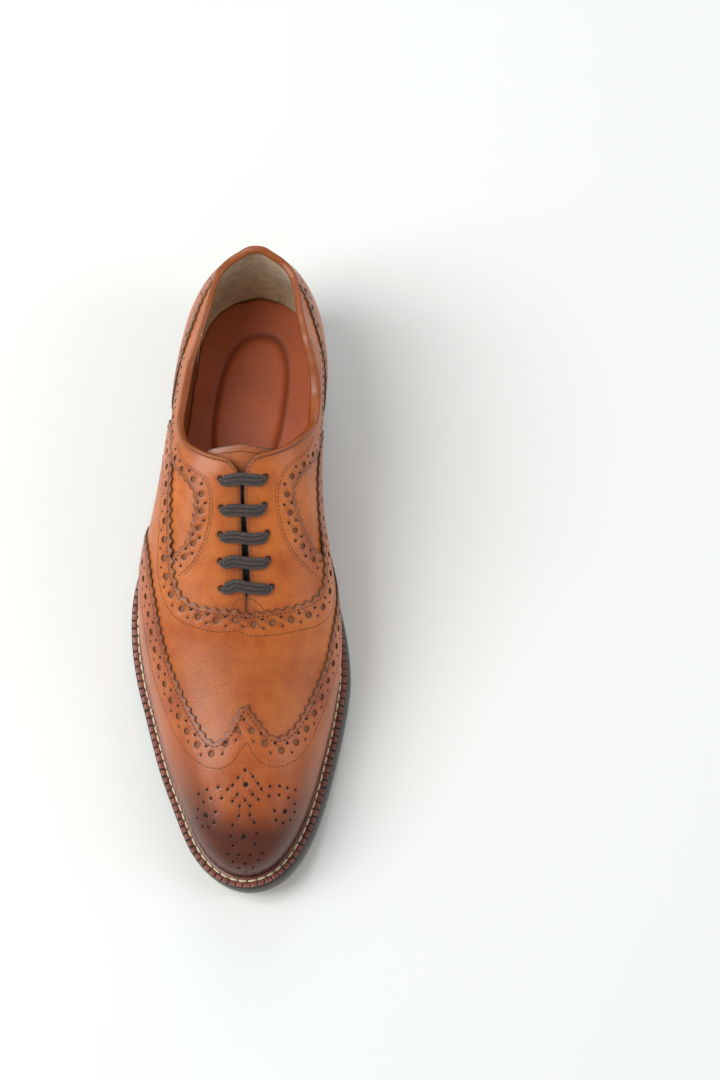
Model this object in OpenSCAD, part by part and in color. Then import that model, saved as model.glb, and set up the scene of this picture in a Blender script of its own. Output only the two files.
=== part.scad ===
// Full-brogue leather oxford shoe, wearer's right foot.
// +Z up, millimetres. Origin on the ground under the middle of the heel seat,
// toe towards -Y, lateral side towards -X.

/* [Sole] */
// Overall length of the sole from heel to toe
sole_length = 303.5; // [285:0.5:320]
// Width factor of the sole and upper
width_factor = 1.0; // [0.94:0.01:1.06]
// Height of the stacked heel under the outsole
heel_height = 25; // [20:0.5:30]
// Toe spring at the tip
toe_spring = 9.5; // [5:0.5:14]
// Thickness of the leather outsole
outsole_t = 5; // [4:0.1:6.5]
// Thickness of the welt
welt_t = 3; // [2.4:0.1:4]
// Thickness of the rubber top piece of the heel
top_piece_t = 6; // [4:0.5:8]
// Thickness of the insole board
insole_t = 2.7; // [2:0.1:3.5]

/* [Upper] */
// Thickness of each leather panel
leather_t = 1.0; // [0.8:0.05:1.1]
// Clearance between neighbouring layers
layer_gap = 0.4; // [0.35:0.05:0.5]
// Diameter of the punched eyelets
eyelet_d = 4.2; // [3.8:0.1:4.6]

/* [Lace] */
// Width of the oval lace
lace_w = 6.2; // [4:0.1:7]
// Thickness of the oval lace
lace_t = 2.0; // [1.5:0.1:2.4]

/* [Fasteners] */
// Shank diameter of the heel nails
nail_d = 2.2; // [1.6:0.1:2.8]
// Number of heel nails
nail_count = 7; // [5:1:9]
// Spacing of the outsole stitches along the welt
stitch_pitch = 4.3; // [3.5:0.1:6]

/* [Hidden] */

tan_leather = [0.62,0.36,0.17];
tan_dark = [0.50,0.26,0.11];
edge_brown = [0.40,0.22,0.13];
cream = [0.80,0.71,0.57];
rubber_black = [.12,.11,.11];
nail_metal = [.72,.70,.66];
shank_grey = [.55,.56,.58];
cork_brown = [.55,.42,.28];
board_tan = [.72,.58,.42];
pad_grey = [.35,.33,.31];
liner_brown = [.44,.21,.12];
lace_brown = [.28,.24,.22];
aglet_black = [.16,.14,.13];

// The tables below are drawn for the design size and scaled from it
design_length = 303.5;
design_heel_height = 25;
design_toe_spring = 9.5;
length_scale = sole_length/design_length;
half_length = design_length/2;
heel_end_y = 41;
mid_y = heel_end_y-half_length;

sole_t = outsole_t+welt_t;
insole_top = sole_t+insole_t;
stack_gap = .06;  // clearance between stacked bottom parts
sole_gap = .04;   // clearance at the outsole faces

// ---- interpolation
function hermite(p0,m0,p1,m1,t) = let (t2 = t*t, t3 = t2*t)
  (2*t3-3*t2+1)*p0 + (t3-2*t2+t)*m0 + (3*t2-2*t3)*p1 + (t3-t2)*m1;
// smooth row of a table [x, values...] at x, held at the ends
function segment_at(table,x,i=0) =
  (i >= len(table)-2 || x < table[i+1][0]) ? i : segment_at(table,x,i+1);
function chord(table,i) = (table[i+1]-table[i])/(table[i+1][0]-table[i][0]);
function slope(table,i) =
  i == 0 ? chord(table,0) :
  i == len(table)-1 ? chord(table,i-1) :
  let (before = table[i][0]-table[i-1][0], after = table[i+1][0]-table[i][0])
    (chord(table,i-1)*after + chord(table,i)*before)/(before+after);
function row_at(table,wanted) = let (
    x = min(max(wanted,table[0][0]),table[len(table)-1][0]),
    i = segment_at(table,x),
    h = table[i+1][0]-table[i][0])
  hermite(table[i],h*slope(table,i),table[i+1],h*slope(table,i+1),(x-table[i][0])/h);
// smooth curve through a list of points or point pairs, u counts list steps
function along(list,u) = let (
    n = len(list)-1,
    i = min(floor(u),n-1),
    m0 = i == 0 ? list[1]-list[0] : (list[i+1]-list[i-1])/2,
    m1 = i == n-1 ? list[n]-list[n-1] : (list[i+2]-list[i])/2)
  hermite(list[i],m0,list[i+1],m1,u-i);
function smooth_step(a,b,x) = let (t = min(max((x-a)/(b-a),0),1)) t*t*(3-2*t);
function mix(a,b,v) = a*(1-v)+b*v;
function reversed(list) = [for (i=[len(list)-1:-1:0]) list[i]];
function repeated(value,n) = [for (i=[1:n]) value];
function sinh_(x) = (exp(x)-exp(-x))/2;
function cosh_(x) = (exp(x)+exp(-x))/2;
function quad(a,b,c,d) = [[a,b,c],[a,c,d]];

// ---- sole shape
// angle runs from 0 at the toe to 180 at the heel; side is -1 lateral, 1 medial;
// share of length runs from 0 at the toe to 1 at the heel
// rows: share of length, lateral half width, medial half width
HALF_WIDTHS = [[0,60,60],[.045,57.6,56],[.11,54.6,52.4],[.2,55.7,50],[.28,57.4,49.9],
  [.345,59.8,49.6],[.41,61,46.6],[.476,60,41.8],[.53,56.3,37.3],[.585,51,33.6],
  [.667,46,32.5],[.7825,44.5,38],[.865,49.5,47.5],[.93,56,55.5],[1,62,61]];
// rows: share of length, inset of the feather line from the sole edge
FEATHER_INSET = [[0,7.6],[.1,7.2],[.3,7.0],[.45,7.0],[.6,5.6],[.75,3.6],[.87,3.0],[1,3.0]];
toe_shift_x = -4.5;

function share_at(angle) = (1-cos(angle))/2;
function outline(angle,side) = let (c = share_at(angle), widths = row_at(HALF_WIDTHS,c))
  [width_factor*(toe_shift_x*(1-c) + side*sin(angle)*(side < 0 ? widths[1] : widths[2])),
   length_scale*(mid_y - half_length*cos(angle))];
function outline_normal(angle,side) =
  let (d = outline(angle+0.01,side)-outline(angle-0.01,side)) [side*d[1],-side*d[0]]/norm(d);
function inset_point(angle,side,inset) =
  outline(angle,side) - outline_normal(angle,side)*inset;
function feather_inset(angle) = row_at(FEATHER_INSET,share_at(angle))[1];

// height of the outsole's underside: flat heel seat, waist, ball, toe spring
function rise(y,heel,spring) =
  heel*smooth_step(-150,-22,y/length_scale) + spring*pow(max((-178-y/length_scale)/84,0),1.6);
function under(y) = rise(y,heel_height,toe_spring);
function seat(y) = under(y)+sole_t;

// ---- skin of the upper
// rows: y, height of the ridge line
RIDGE = [[-232,43],[-222,46.5],[-205,50.5],[-180,55.5],[-155,63],[-130,73],[-105,85],
  [-80,98],[-60,107],[-40,114],[-20,117],[0,117],[15,112],[26,106]];
// rows: share of length, x of the ridge line
DRIFT = [[0,-5.5],[.2,-7.5],[.35,-8.5],[.5,-8.0],[.65,-4.5],[.8,-1],[1,0]];
// rows: share of length, lateral bulge, medial bulge, bulge height share,
// lateral shoulder width, medial shoulder width
FULLNESS = [[0,5,5,.6,.78,.78],[.1,5,5.6,.58,.77,.80],[.25,4.4,6.6,.52,.79,.93],
  [.4,4.8,8,.47,.88,1.12],[.5,5.4,9,.40,1.01,1.34],[.6,7.8,9.8,.34,1.16,1.5],
  [.7,13,11,.28,1.05,1.46],[.8,19,13.6,.25,.72,1.08],[.9,18.5,12.4,.25,.55,.68],
  [1,11,11,.25,1.2,1.2]];
ridge_toe_y = -229;
ridge_length = 256;
// the flat pattern is an ellipse in elliptic coordinates
focus = 118;
rim_mu = 0.62;

// point on the skin for a pattern point q = [across, along]:
// across is negative on the lateral side, along runs from -141 toe to +141 heel
function skin(q) = let (
    across = abs(q[0]),
    ahead = -q[1],
    to_heel = norm([ahead+focus,across]),
    to_toe = norm([ahead-focus,across]),
    cosh_mu = max((to_heel+to_toe)/(2*focus),1),
    cos_angle = min(max((to_heel-to_toe)/(2*focus),-1),1),
    sinh_mu = sqrt(cosh_mu*cosh_mu-1),
    sin_angle = sqrt(1-cos_angle*cos_angle),
    angle = acos(cos_angle),
    side = q[0] < 0 ? -1 : 1,
    share = (1-cos_angle)/2,
    radius = norm([sinh_mu*sin_angle,(cosh_mu-1)*cos_angle]),
    rim = norm([sinh_(rim_mu)*sin_angle,(cosh_(rim_mu)-1)*cos_angle]),
    t = 1-radius/rim,
    u = 1-t,
    n = outline_normal(angle,side),
    f = outline(angle,side) - n*feather_inset(angle),
    base = [f[0],f[1],seat(f[1])],
    table_y = ridge_toe_y+ridge_length*share,
    y = length_scale*table_y,
    lift = under(y)-rise(y,design_heel_height,design_toe_spring),
    ridge = [width_factor*row_at(DRIFT,share)[1], y, row_at(RIDGE,table_y)[1]+lift],
    ridge_slope = (row_at(RIDGE,table_y+.5)[1]-row_at(RIDGE,table_y-.5)[1])/length_scale,
    full = row_at(FULLNESS,share),
    bulge = side < 0 ? full[1] : full[2],
    shoulder = side < 0 ? full[4] : full[5],
    reach = (f-[ridge[0],ridge[1]])*shoulder,
    low = base + [n[0]*bulge, n[1]*bulge, full[3]*(ridge[2]-base[2])],
    high = ridge + [reach[0], reach[1], ridge_slope*reach[1]])
  u*u*u*base + 3*u*u*t*low + 3*u*t*t*high + t*t*t*ridge;
function skin_normal(q) =
  let (p = skin(q), m = cross(skin(q+[.05,0])-p, skin(q+[0,.05])-p)) m/norm(m);
function off_skin(q,level) = skin(q) + skin_normal(q)*level;
// feather line of the pattern; trim lifts the edge off the welt
function edge(angle,trim=.02) = let (mu = rim_mu*(1-trim))
  [focus*sinh_(mu)*sin(angle), -focus*cosh_(mu)*cos(angle)];

// leather sheet between two rails of pattern points: pairs = [[a,b],...],
// offsets = level of the inner face for each row from rail a to rail b
module sheet(pairs,offsets,steps=2,thickness=leather_t) {
  n_cols = (len(pairs)-1)*steps+1;
  n_rows = len(offsets);
  N = n_cols*n_rows;
  cols = [for (i=[0:n_cols-1]) along(pairs,i/steps)];
  both = [for (col=cols) for (j=[0:n_rows-1])
    let (q = mix(col[0],col[1],j/(n_rows-1)), p = skin(q), n = skin_normal(q))
      [p+n*offsets[j], p+n*(offsets[j]+thickness)]];
  points = concat([for (b=both) b[0]],[for (b=both) b[1]]);
  faces = concat(
    // inner and outer face
    [for (i=[0:n_cols-2]) for (j=[0:n_rows-2])
      let (a = i*n_rows+j, b = a+n_rows)
        each concat(quad(a,a+1,b+1,b),quad(N+a,N+b,N+b+1,N+a+1))],
    // walls along rail a and rail b
    [for (i=[0:n_cols-2]) let (a = i*n_rows, b = a+n_rows) each quad(a,b,b+N,a+N)],
    [for (i=[0:n_cols-2]) let (a = (i+1)*n_rows-1, b = a+n_rows) each quad(a,a+N,b+N,b)],
    // walls at the first and last column
    [for (a=[0:n_rows-2]) each quad(a,a+N,a+1+N,a+1)],
    [for (j=[0:n_rows-2]) let (a = N-n_rows+j) each quad(a,a+1,a+1+N,a+N)]);
  // the faces turn outwards only when the rails run this way round
  outward = cross(cols[1][0]-cols[0][0],cols[0][1]-cols[0][0]) > 0;
  polyhedron(points=points, faces=outward ? faces : [for (f=faces) [f[0],f[2],f[1]]],
    convexity=6);
}
// moves children to p and turns their z axis to a unit direction
module aim(p,direction) {
  translate(p) rotate([0,acos(direction[2]),atan2(direction[1],direction[0])]) children();
}
module punched(eyelets) {
  difference() {
    children();
    for (q=eyelets) aim(skin(q),skin_normal(q)) cylinder(h=14,d=eyelet_d,center=true,$fn=24);
  }
}

// levels of the inner face of each layer above the skin
layer_pitch = leather_t+layer_gap;
quarter_level = -layer_gap/2-leather_t;
overlay_level = layer_gap/2;
lap_level = overlay_level+layer_pitch;
lining_level = quarter_level-layer_pitch;
heel_lining_level = lining_level-layer_pitch;

// ---- pattern lines, points [across, along]
// quarter toplines and lower edges, from the heel forwards
topline_l = [[-.3,124.8],[-8,121.8],[-14.6,114.1],[-19.5,101.4],[-24,91.8],[-27.1,82.5],
  [-30.5,72.2],[-31.3,56.6],[-30,48.7],[-23.8,40.3],[-16.5,34.6],[-10,30.7],[-4,27.7],
  [-.3,22],[.55,13],[1.05,2],[1.5,-9],[1.8,-20],[2.1,-31],[2.3,-40]];
topline_m = [[.3,124.8],[8,121.8],[13.8,115.5],[19,103.5],[23.2,92.1],[25,84.7],
  [29.5,76],[34,66],[34.6,56],[29.5,47.4],[22,40.9],[15,35.2],[6.5,30.4],
  [1.5,24],[1.35,13],[2.3,2],[3.0,-9],[3.6,-20],[3.4,-31],[3.2,-40]];
lower_l = [edge(-179.8),edge(-166),edge(-150),edge(-137),edge(-126),edge(-118),
  [-66.5,56],[-56,48],[-46,40],[-39.5,30],[-36,20],[-33.5,9],[-32,-2],[-30.5,-12],
  [-28,-20],[-23,-26.5],[-17,-31.5],[-11,-35.5],[-5,-39],[1,-42]];
lower_m = [edge(179.8),edge(166),edge(150),edge(137),edge(126),edge(118),
  [67,56],[60,48],[55.5,39],[54,29],[52,18],[48,7.5],[45,-2],[42,-11],
  [37,-18],[31,-23],[24,-28],[17,-32.5],[11,-36.5],[6,-40.5]];
// back edges of the vamp and wingtip, from lateral to medial
vamp_edge = [edge(-115),[-62,60],[-53,58],[-45,53],[-37.6,44.6],[-31.7,30.4],[-26.9,16.2],
  [-24.5,5.6],[-23,-4],[-21.6,-14],[-17.6,-22.5],[-10.6,-28.2],[-4,-31.8],[1.5,-33.5],
  [7,-30.7],[13,-26.6],[20,-22.2],[27,-16.6],[32.5,-10],[35.8,-2],[38,6],[42,15],
  [45.5,25],[47,36],[49.5,47],[55,56],[62,60],edge(115)];
wing_edge = [edge(-106,.05),[-65,26],[-55,15],[-46,5.5],[-40,-2],[-36.8,-12],[-34.8,-22],
  [-33.6,-32],[-31.6,-42],[-28.4,-51.5],[-24,-61],[-19.2,-69.9],[-15.2,-77],[-10.5,-81.6],
  [-5.6,-81.4],[-1.6,-77],[2,-70],[5.4,-74],[8.8,-77.4],[13,-78],[18.5,-73.8],[23.6,-68],
  [27.4,-61],[31,-53.5],[34.8,-45.5],[38.4,-37],[42.6,-28.5],[47.6,-19],[53,-7],
  [59,7.5],[66.5,23],edge(106,.05)];
wing_low = [for (i=[0:31]) let (u = i/31*2-1) edge((u < 0 ? -1 : 1)*103*pow(abs(u),.8))];
vamp_low = [for (i=[0:27]) let (u = i/27*31) mix(along(wing_edge,u),along(wing_low,u),.2)];
// facings, pairs [topline point, outer edge point] from the heel forwards
facing_l = [[[-27.1,82.5],[-34.2,84]],[[-30.5,72.2],[-38,72.5]],[[-31.3,56.6],[-38.8,57]],
  [[-30,48.7],[-36.5,46]],[[-23.8,40.3],[-32,37]],[[-16.5,34.6],[-26,29.8]],
  [[-10,30.7],[-20.5,25.2]],[[-4,27.7],[-15.4,19.2]],[[-.1,21.2],[-14,13]],
  [[.55,15.2],[-14.4,6.5]],[[.9,8],[-17.3,-.6]],[[1.1,3.8],[-21.6,-4]],
  [[1.35,-4],[-20.4,-13]],[[1.55,-11],[-16.4,-21.4]],[[1.7,-17],[-10.4,-26.6]],
  [[1.8,-23],[-4,-30.2]],[[2,-30],[.6,-32.2]]];
facing_m = [[[25,84.7],[32.2,87]],[[29.5,76],[37.4,77.5]],[[34,66],[41.6,66]],
  [[34.6,56],[41.6,54]],[[29.5,47.4],[37.4,43]],[[22,40.9],[29.4,33.4]],
  [[15,35.2],[23,26.4]],[[6.5,30.4],[18.7,21]],[[1.5,24],[20,15.5]],
  [[1.25,15.2],[22.2,10]],[[1.7,9.5],[25.5,5.2]],[[2.1,3.8],[31.4,2]],
  [[2.5,-2],[34.2,-1]],[[2.9,-7.7],[30.8,-10]],[[3.2,-14],[22.6,-18.6]],
  [[3.5,-20],[12.4,-25.4]],[[3.6,-25],[6.8,-29.2]],[[3.5,-30],[4.2,-31.2]]];
// upper and feather edges of the counter foxing, lateral to medial round the heel
foxing_edge = [edge(-123.5,.03),[-57,70],[-50,69],[-44.5,72],[-39,79],[-33,87.5],
  [-26,98.5],[-19.5,107.5],[-14.6,114.1],[-8,121.3],[0,124.3],[8,121.3],[13.8,115.5],
  [19.5,108],[27,98.5],[34,88],[40.5,79],[45.5,72.5],[51,69],[57,70],edge(123.5,.03)];
foxing_low = [for (i=[0:20]) edge(180-54*(i/10-1))];
heel_lining_top = [[-25.6,88],[-24,91.8],[-19.5,101.4],[-14.6,114.1],[-8,121.8],[0,124.8],
  [8,121.8],[13.8,115.5],[19,103.5],[23.2,92.1],[24.4,87.5]];
// eyelets, from the ankle forwards
eyelets_l = [[-5.4,20.2],[-4.4,8.8],[-4.4,-1.6],[-4.4,-12.2],[-4.4,-23.2]];
eyelets_m = [[7.2,21.7],[7.2,11.4],[8,1.2],[8.4,-8.7],[9.6,-19]];
function pair(a,b) = [for (i=[0:len(a)-1]) [a[i],b[i]]];

// quarter linings stop short of the quarter's lower edge ahead of row 7
function lining_rails(top,low) =
  [for (i=[4:18]) [top[i], i < 7 ? low[i] : mix(top[i],low[i],.86)]];
lining_l = lining_rails(topline_l,lower_l);
lining_m = lining_rails(topline_m,lower_m);
// the front lining butts against the lower edges of the quarter linings
butt_gap = 1.7;
function beside(rails,side) = [for (i=[2:len(rails)-1])
  let (a = rails[i-1][1], b = rails[min(i+1,len(rails)-1)][1], t = (b-a)/norm(b-a))
    rails[i][1]+side*butt_gap*[t[1],-t[0]]];
front_lining_edge = concat([edge(-112)],beside(lining_l,1),[[2.6,-41.5]],
  reversed(beside(lining_m,-1)),[edge(112)]);

// ---- bottom
// slab that follows the underside curve between two heights above it
module band(low,high,y0=-270,y1=50) {
  ys = [for (y=[y0:5:y1]) y*length_scale];
  rotate([90,0,90]) linear_extrude(height=150,center=true)
    polygon(concat([for (y=ys) [y,under(y)+low]],[for (y=reversed(ys)) [y,under(y)+high]]));
}
// closed sole outline, inset by a fixed amount plus a share of the feather inset
function sole_loop(inset,feather=0,n=64) = concat(
  [for (i=[0:n]) let (a = i*180/n) inset_point(a,1,inset+feather*feather_inset(a))],
  [for (i=[n-1:-1:1]) let (a = i*180/n) inset_point(a,-1,inset+feather*feather_inset(a))]);
module plan(inset,feather=0) {
  linear_extrude(height=90) polygon(sole_loop(inset,feather));
}
// strip of a band between two insets and two lengthwise stations
module ring(low,high,outer,inner,y0,y1) {
  intersection() {
    band(low,high);
    difference() {
      plan(outer);
      plan(inner);
    }
    translate([-100,y0*length_scale,-5]) cube([200,(y1-y0)*length_scale,120]);
  }
}

function nail_at(i) = let (a = -70+320*i/(nail_count-1)) [20.24*cos(a), 8+24*sin(a)];
module at_nails(z) {
  for (i=[0:nail_count-1]) translate([nail_at(i)[0],nail_at(i)[1],z]) children();
}
module nail_holes(z0,z1) {
  at_nails(z0) cylinder(h=z1-z0,d=nail_d+.2,$fn=24);
}

lift_t = (heel_height-top_piece_t)/3;
// heel layers from the ground up: bottom heights and insets from the sole edge
heel_z = [0,top_piece_t,top_piece_t+lift_t,top_piece_t+2*lift_t,heel_height];
heel_inset = [1.8,1.4,1.0,.6];
breast_y = -23;    // front of the heel at its sides
breast_r = 153;
breast_bow = 3;    // how far the front curves back into the heel
module heel_slab(layer) {
  z0 = heel_z[layer];
  z1 = heel_z[layer+1];
  difference() {
    translate([0,0,z0]) linear_extrude(height=z1-z0-stack_gap) difference() {
      polygon(sole_loop(heel_inset[layer]));
      translate([-80,-300*length_scale]) square([160,(300+breast_y)*length_scale]);
      translate([0,breast_y*length_scale-(breast_r-breast_bow)]) circle(r=breast_r,$fn=180);
    }
    nail_holes(z0-1,z1+1);
  }
}
module heel_top_piece() { color(rubber_black) heel_slab(0); }
module heel_lift_1() { color(edge_brown) heel_slab(1); }
module heel_lift_2() { color(edge_brown) heel_slab(2); }
module heel_lift_3() { color(edge_brown) heel_slab(3); }
module heel_nails() {
  color(nail_metal) at_nails(.4) cylinder(h=heel_height+outsole_t-1.6,d=nail_d,$fn=24);
}
module outsole() {
  color(edge_brown) difference() {
    intersection() {
      band(sole_gap,outsole_t-sole_gap);
      plan(0);
    }
    nail_holes(heel_height-3,heel_height+outsole_t-1);
  }
}
module welt() { color(edge_brown) ring(outsole_t+sole_gap,sole_t,0,11,-300,-20); }
module heel_rand() { color(edge_brown) ring(outsole_t+sole_gap,sole_t,.2,9,-19.6,60); }

stitched_length = 262;
stitch_end_angle = 118;
stitch_inset = 3.1;
stitch_size = [1.9,1.1,.22];
// thin stitches just above the welt, in equal steps of outline angle from the toe
module outsole_stitches() {
  n = floor(stitched_length*length_scale/stitch_pitch);
  color(cream) for (side=[-1,1]) for (i=[0:n])
    let (angle = i*stitch_end_angle/n,
      normal = outline_normal(angle,side),
      p = inset_point(angle,side,stitch_inset),
      incline = seat(p[1]+.5)-seat(p[1]-.5),
      turn = atan2(-normal[0],normal[1]))
    // the toe stitch is shared by both sides
    if (!(i == 0 && side < 0))
      translate([p[0],p[1],seat(p[1])+.28])
        rotate([0,0,turn]) rotate([0,-atan(incline*sin(turn)),0])
          cube(stitch_size,center=true);
}
// shank blank, grown on every side by a clearance [x, y, z]
module shank_block(clear=[0,0,0]) {
  intersection() {
    band(outsole_t+.7-clear[2],outsole_t+1.9+clear[2]);
    translate([-9-clear[0],(-112-clear[1])*length_scale,0])
      cube([14+2*clear[0],(104+2*clear[1])*length_scale,60]);
  }
}
module shank() { color(shank_grey) shank_block(); }
module cork_filler() {
  color(cork_brown) difference() {
    intersection() {
      band(outsole_t+stack_gap,sole_t-stack_gap);
      plan(13.8);
    }
    shank_block([.3,.4,.2]);
  }
}
module insole_rib() {
  color(cream) ring(outsole_t+stack_gap,sole_t-stack_gap,11.3,13.5,-300,-20);
}
module insole() {
  color(board_tan) intersection() {
    band(sole_t+stack_gap,insole_top);
    plan(3.6,1);
  }
}
heel_pad_radii = [14,32.5];
heel_pad_t = 2;
module heel_oval(radii) {
  translate([-3.1,-27*length_scale,0]) rotate(-7.7) scale([radii[0],radii[1],1])
    cylinder(h=90,r=1,$fn=48);
}
module heel_pad() {
  color(pad_grey) intersection() {
    band(insole_top+stack_gap,insole_top+heel_pad_t);
    heel_oval(heel_pad_radii);
  }
}
// sock liner with a raised oval over the heel pad, hollowed for the pad
module sock_liner() {
  color(liner_brown) difference() {
    union() {
      intersection() {
        band(insole_top+stack_gap,insole_top+1.06);
        plan(4.4,1);
      }
      intersection() {
        band(insole_top+stack_gap,insole_top+3.1);
        heel_oval([15.4,34.2]);
      }
    }
    intersection() {
      band(insole_top-1,insole_top+heel_pad_t+.1,-66,50);
      heel_oval(heel_pad_radii+[.15,.15]);
    }
  }
}

// ---- upper
// the wingtip laps over the vamp at its back edge, then steps down beside it
wing_offsets = concat(
  [lap_level,lap_level,lap_level,lap_level-.3,overlay_level+.4],repeated(overlay_level,8));
module wingtip() { color(tan_dark) sheet(pair(wing_edge,wing_low),wing_offsets); }
module vamp() {
  color(tan_leather) sheet(pair(vamp_edge,vamp_low),repeated(overlay_level,8));
}
puff_thinning = .25;
module toe_puff() {
  rails = [for (i=[0:16]) let (u = i/8-1) [[u*46,-104+14*u*u],edge(u*52)]];
  color(cream) sheet(rails,repeated(quarter_level-puff_thinning,9),3,leather_t-puff_thinning);
}
module vamp_lining() {
  n = len(front_lining_edge)-1;
  rails = [for (i=[0:n]) [front_lining_edge[i],along(wing_low,i/n*31)]];
  color(cream) sheet(rails,repeated(lining_level,13));
}
module quarter(topline,lower,eyelets) {
  color(tan_leather) punched(eyelets) sheet(pair(topline,lower),repeated(quarter_level,8));
}
module quarter_lateral() { quarter(topline_l,lower_l,eyelets_l); }
module quarter_medial() { quarter(topline_m,lower_m,eyelets_m); }
module facing(rails,eyelets) {
  color(tan_leather) punched(eyelets) sheet(rails,repeated(overlay_level,5));
}
module facing_lateral() { facing(facing_l,eyelets_l); }
module facing_medial() { facing(facing_m,eyelets_m); }
module counter_foxing() {
  color(tan_dark) sheet(pair(foxing_edge,foxing_low),repeated(overlay_level,7));
}
module counter_stiffener() {
  rails = [for (i=[0:12]) let (u = i/6-1, low = edge(180-46*u))
    [mix(low,[12*u,116-8*u*u],.66),low]];
  color(cream) sheet(rails,repeated(lining_level,7),3);
}
module quarter_lining(rails,eyelets) {
  color(cream) punched(eyelets) sheet(rails,repeated(lining_level,8));
}
module quarter_lining_lateral() { quarter_lining(lining_l,eyelets_l); }
module quarter_lining_medial() { quarter_lining(lining_m,eyelets_m); }
module heel_lining() {
  rails = [for (i=[0:10]) [heel_lining_top[i],edge(180-(i-5)*10.6,.03)]];
  color(cream) sheet(rails,repeated(heel_lining_level,9),3);
}

tongue_mid = 1.2;
tongue_rails = [for (i=[0:8])
  let (v = i/8, half_w = 14+5.5*sin(v*120), y = -37+v*72-v*v*v*4)
    [[tongue_mid-half_w,y],[tongue_mid+half_w,y]]];
tongue_level = lining_level-2.6-leather_t;
module tongue() {
  color(tan_leather) sheet(tongue_rails,repeated(tongue_level,11),thickness=1.2);
}
module tongue_lining() {
  color(cream) sheet(tongue_rails,repeated(tongue_level-1.4,11),thickness=1.0);
}

// ---- lace: rows are [pattern point, level, width, thickness]
top_level = lap_level-.2+lace_t/2;
inside_level = lining_level-1;
function inside(q,w=2.4) = [q,inside_level,w,1.5];
// half a bar: up through eyelet a, then out towards the bar's middle
function half_bar(a,b,middle) = [
  inside(a),
  [a,0,2.6,2.2],
  [mix(a,b,.02),top_level-.5,3,2],
  [mix(a,middle,.28),top_level+.1,lace_w,lace_t]];
// bar across one row of eyelets, starting on the lateral side when dir > 0
function bar(i,dir) = let (
    a = dir > 0 ? eyelets_l[i] : eyelets_m[i],
    b = dir > 0 ? eyelets_m[i] : eyelets_l[i],
    middle = (a+b)/2-[0,i > 0 && i < 4 ? 1.6 : .4])
  concat(half_bar(a,b,middle),[[middle,top_level+.2,lace_w,lace_t]],
    reversed(half_bar(b,a,middle)));
// inside run past eyelets, one [eyelet, shift] per point
function inside_run(stops) = [for (s=stops) inside(s[0]+s[1])];
L = eyelets_l;
M = eyelets_m;
lace_path = concat(
  [inside([21,-6],2.6),inside([16.5,3],2.6)],
  bar(1,-1),
  inside_run([[L[1],[-3.2,-3]],[L[2],[-4,0]],[L[3],[-3.2,3]]]),
  bar(3,1),
  [inside(mix(M[3],M[4],.5))],
  bar(4,-1),
  inside_run([[L[4],[3.1,3]],[L[3],[3.4,0]],[L[2],[3.1,-3]]]),
  bar(2,1),
  inside_run([[M[2],[-3,3]],[M[1],[-3.6,0]],[M[0],[-3,-3]]]),
  bar(0,-1),
  [inside([-12.5,13],2.6),inside([-16,3],2.6)]);
lace_points = [for (row=lace_path) off_skin(row[0],row[1])];
function unit(v) = v/max(norm(v),1e-6);
module lace() {
  n = len(lace_path);
  m = 8;  // points round the section
  points = [for (i=[0:n-1]) let (
      run = unit(lace_points[min(i+1,n-1)]-lace_points[max(i-1,0)]),
      up = skin_normal(lace_path[i][0]),
      // inside an eyelet the run is along the skin normal, so the section turns
      // to the pattern's long direction
      ref = abs(run*up) > .8 ? [0,1,.45] : up,
      across = unit(cross(run,ref)),
      normal = unit(cross(across,run)),
      w = lace_path[i][2]/2,
      h = lace_path[i][3]/2)
    for (j=[0:m-1]) lace_points[i] + across*(w*cos(j*360/m)) + normal*(h*sin(j*360/m))];
  faces = concat(
    [[for (j=[0:m-1]) j]],
    [[for (j=[m-1:-1:0]) (n-1)*m+j]],
    [for (i=[0:n-2]) for (j=[0:m-1]) let (a = i*m+j, b = i*m+(j+1)%m)
      each quad(b,a,a+m,b+m)]);
  color(lace_brown) polyhedron(points=points,faces=faces,convexity=12);
}
module aglet(from,to) {
  p = off_skin(from,inside_level-.15);
  q = off_skin(to,inside_level-.15);
  aim(p,unit(q-p)) cylinder(h=norm(q-p),d=1.9,$fn=24);
}
module lace_aglets() {
  color(aglet_black) {
    aglet([21.5,-7],[25,-14]);
    aglet([-16.5,1.5],[-19,-6]);
  }
}

heel_top_piece();
heel_lift_1();
heel_lift_2();
heel_lift_3();
heel_nails();
outsole();
welt();
heel_rand();
outsole_stitches();
shank();
cork_filler();
insole_rib();
insole();
heel_pad();
sock_liner();
wingtip();
vamp();
toe_puff();
vamp_lining();
quarter_lateral();
quarter_medial();
facing_lateral();
facing_medial();
counter_foxing();
counter_stiffener();
quarter_lining_lateral();
quarter_lining_medial();
heel_lining();
tongue();
tongue_lining();
lace();
lace_aglets();
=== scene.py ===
"""One laced wingtip brogue with a welted sole and a stacked heel, standing on a floor.

The toe points to -Y and the heel to +Y; lateral is -X, medial is +X and Z is up.
Lengths are in mm until make() turns them into metres. The upper is drawn as flat pattern
shapes: last() bends pattern points (x, y) onto the shoe, and the depth of every face of a
leather sheet is measured from there along the outward normal.
"""
import math
from collections import namedtuple
from functools import cached_property
from types import SimpleNamespace

import bpy
import numpy as np
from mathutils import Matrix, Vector, kdtree
from mathutils.geometry import delaunay_2d_cdt


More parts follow.
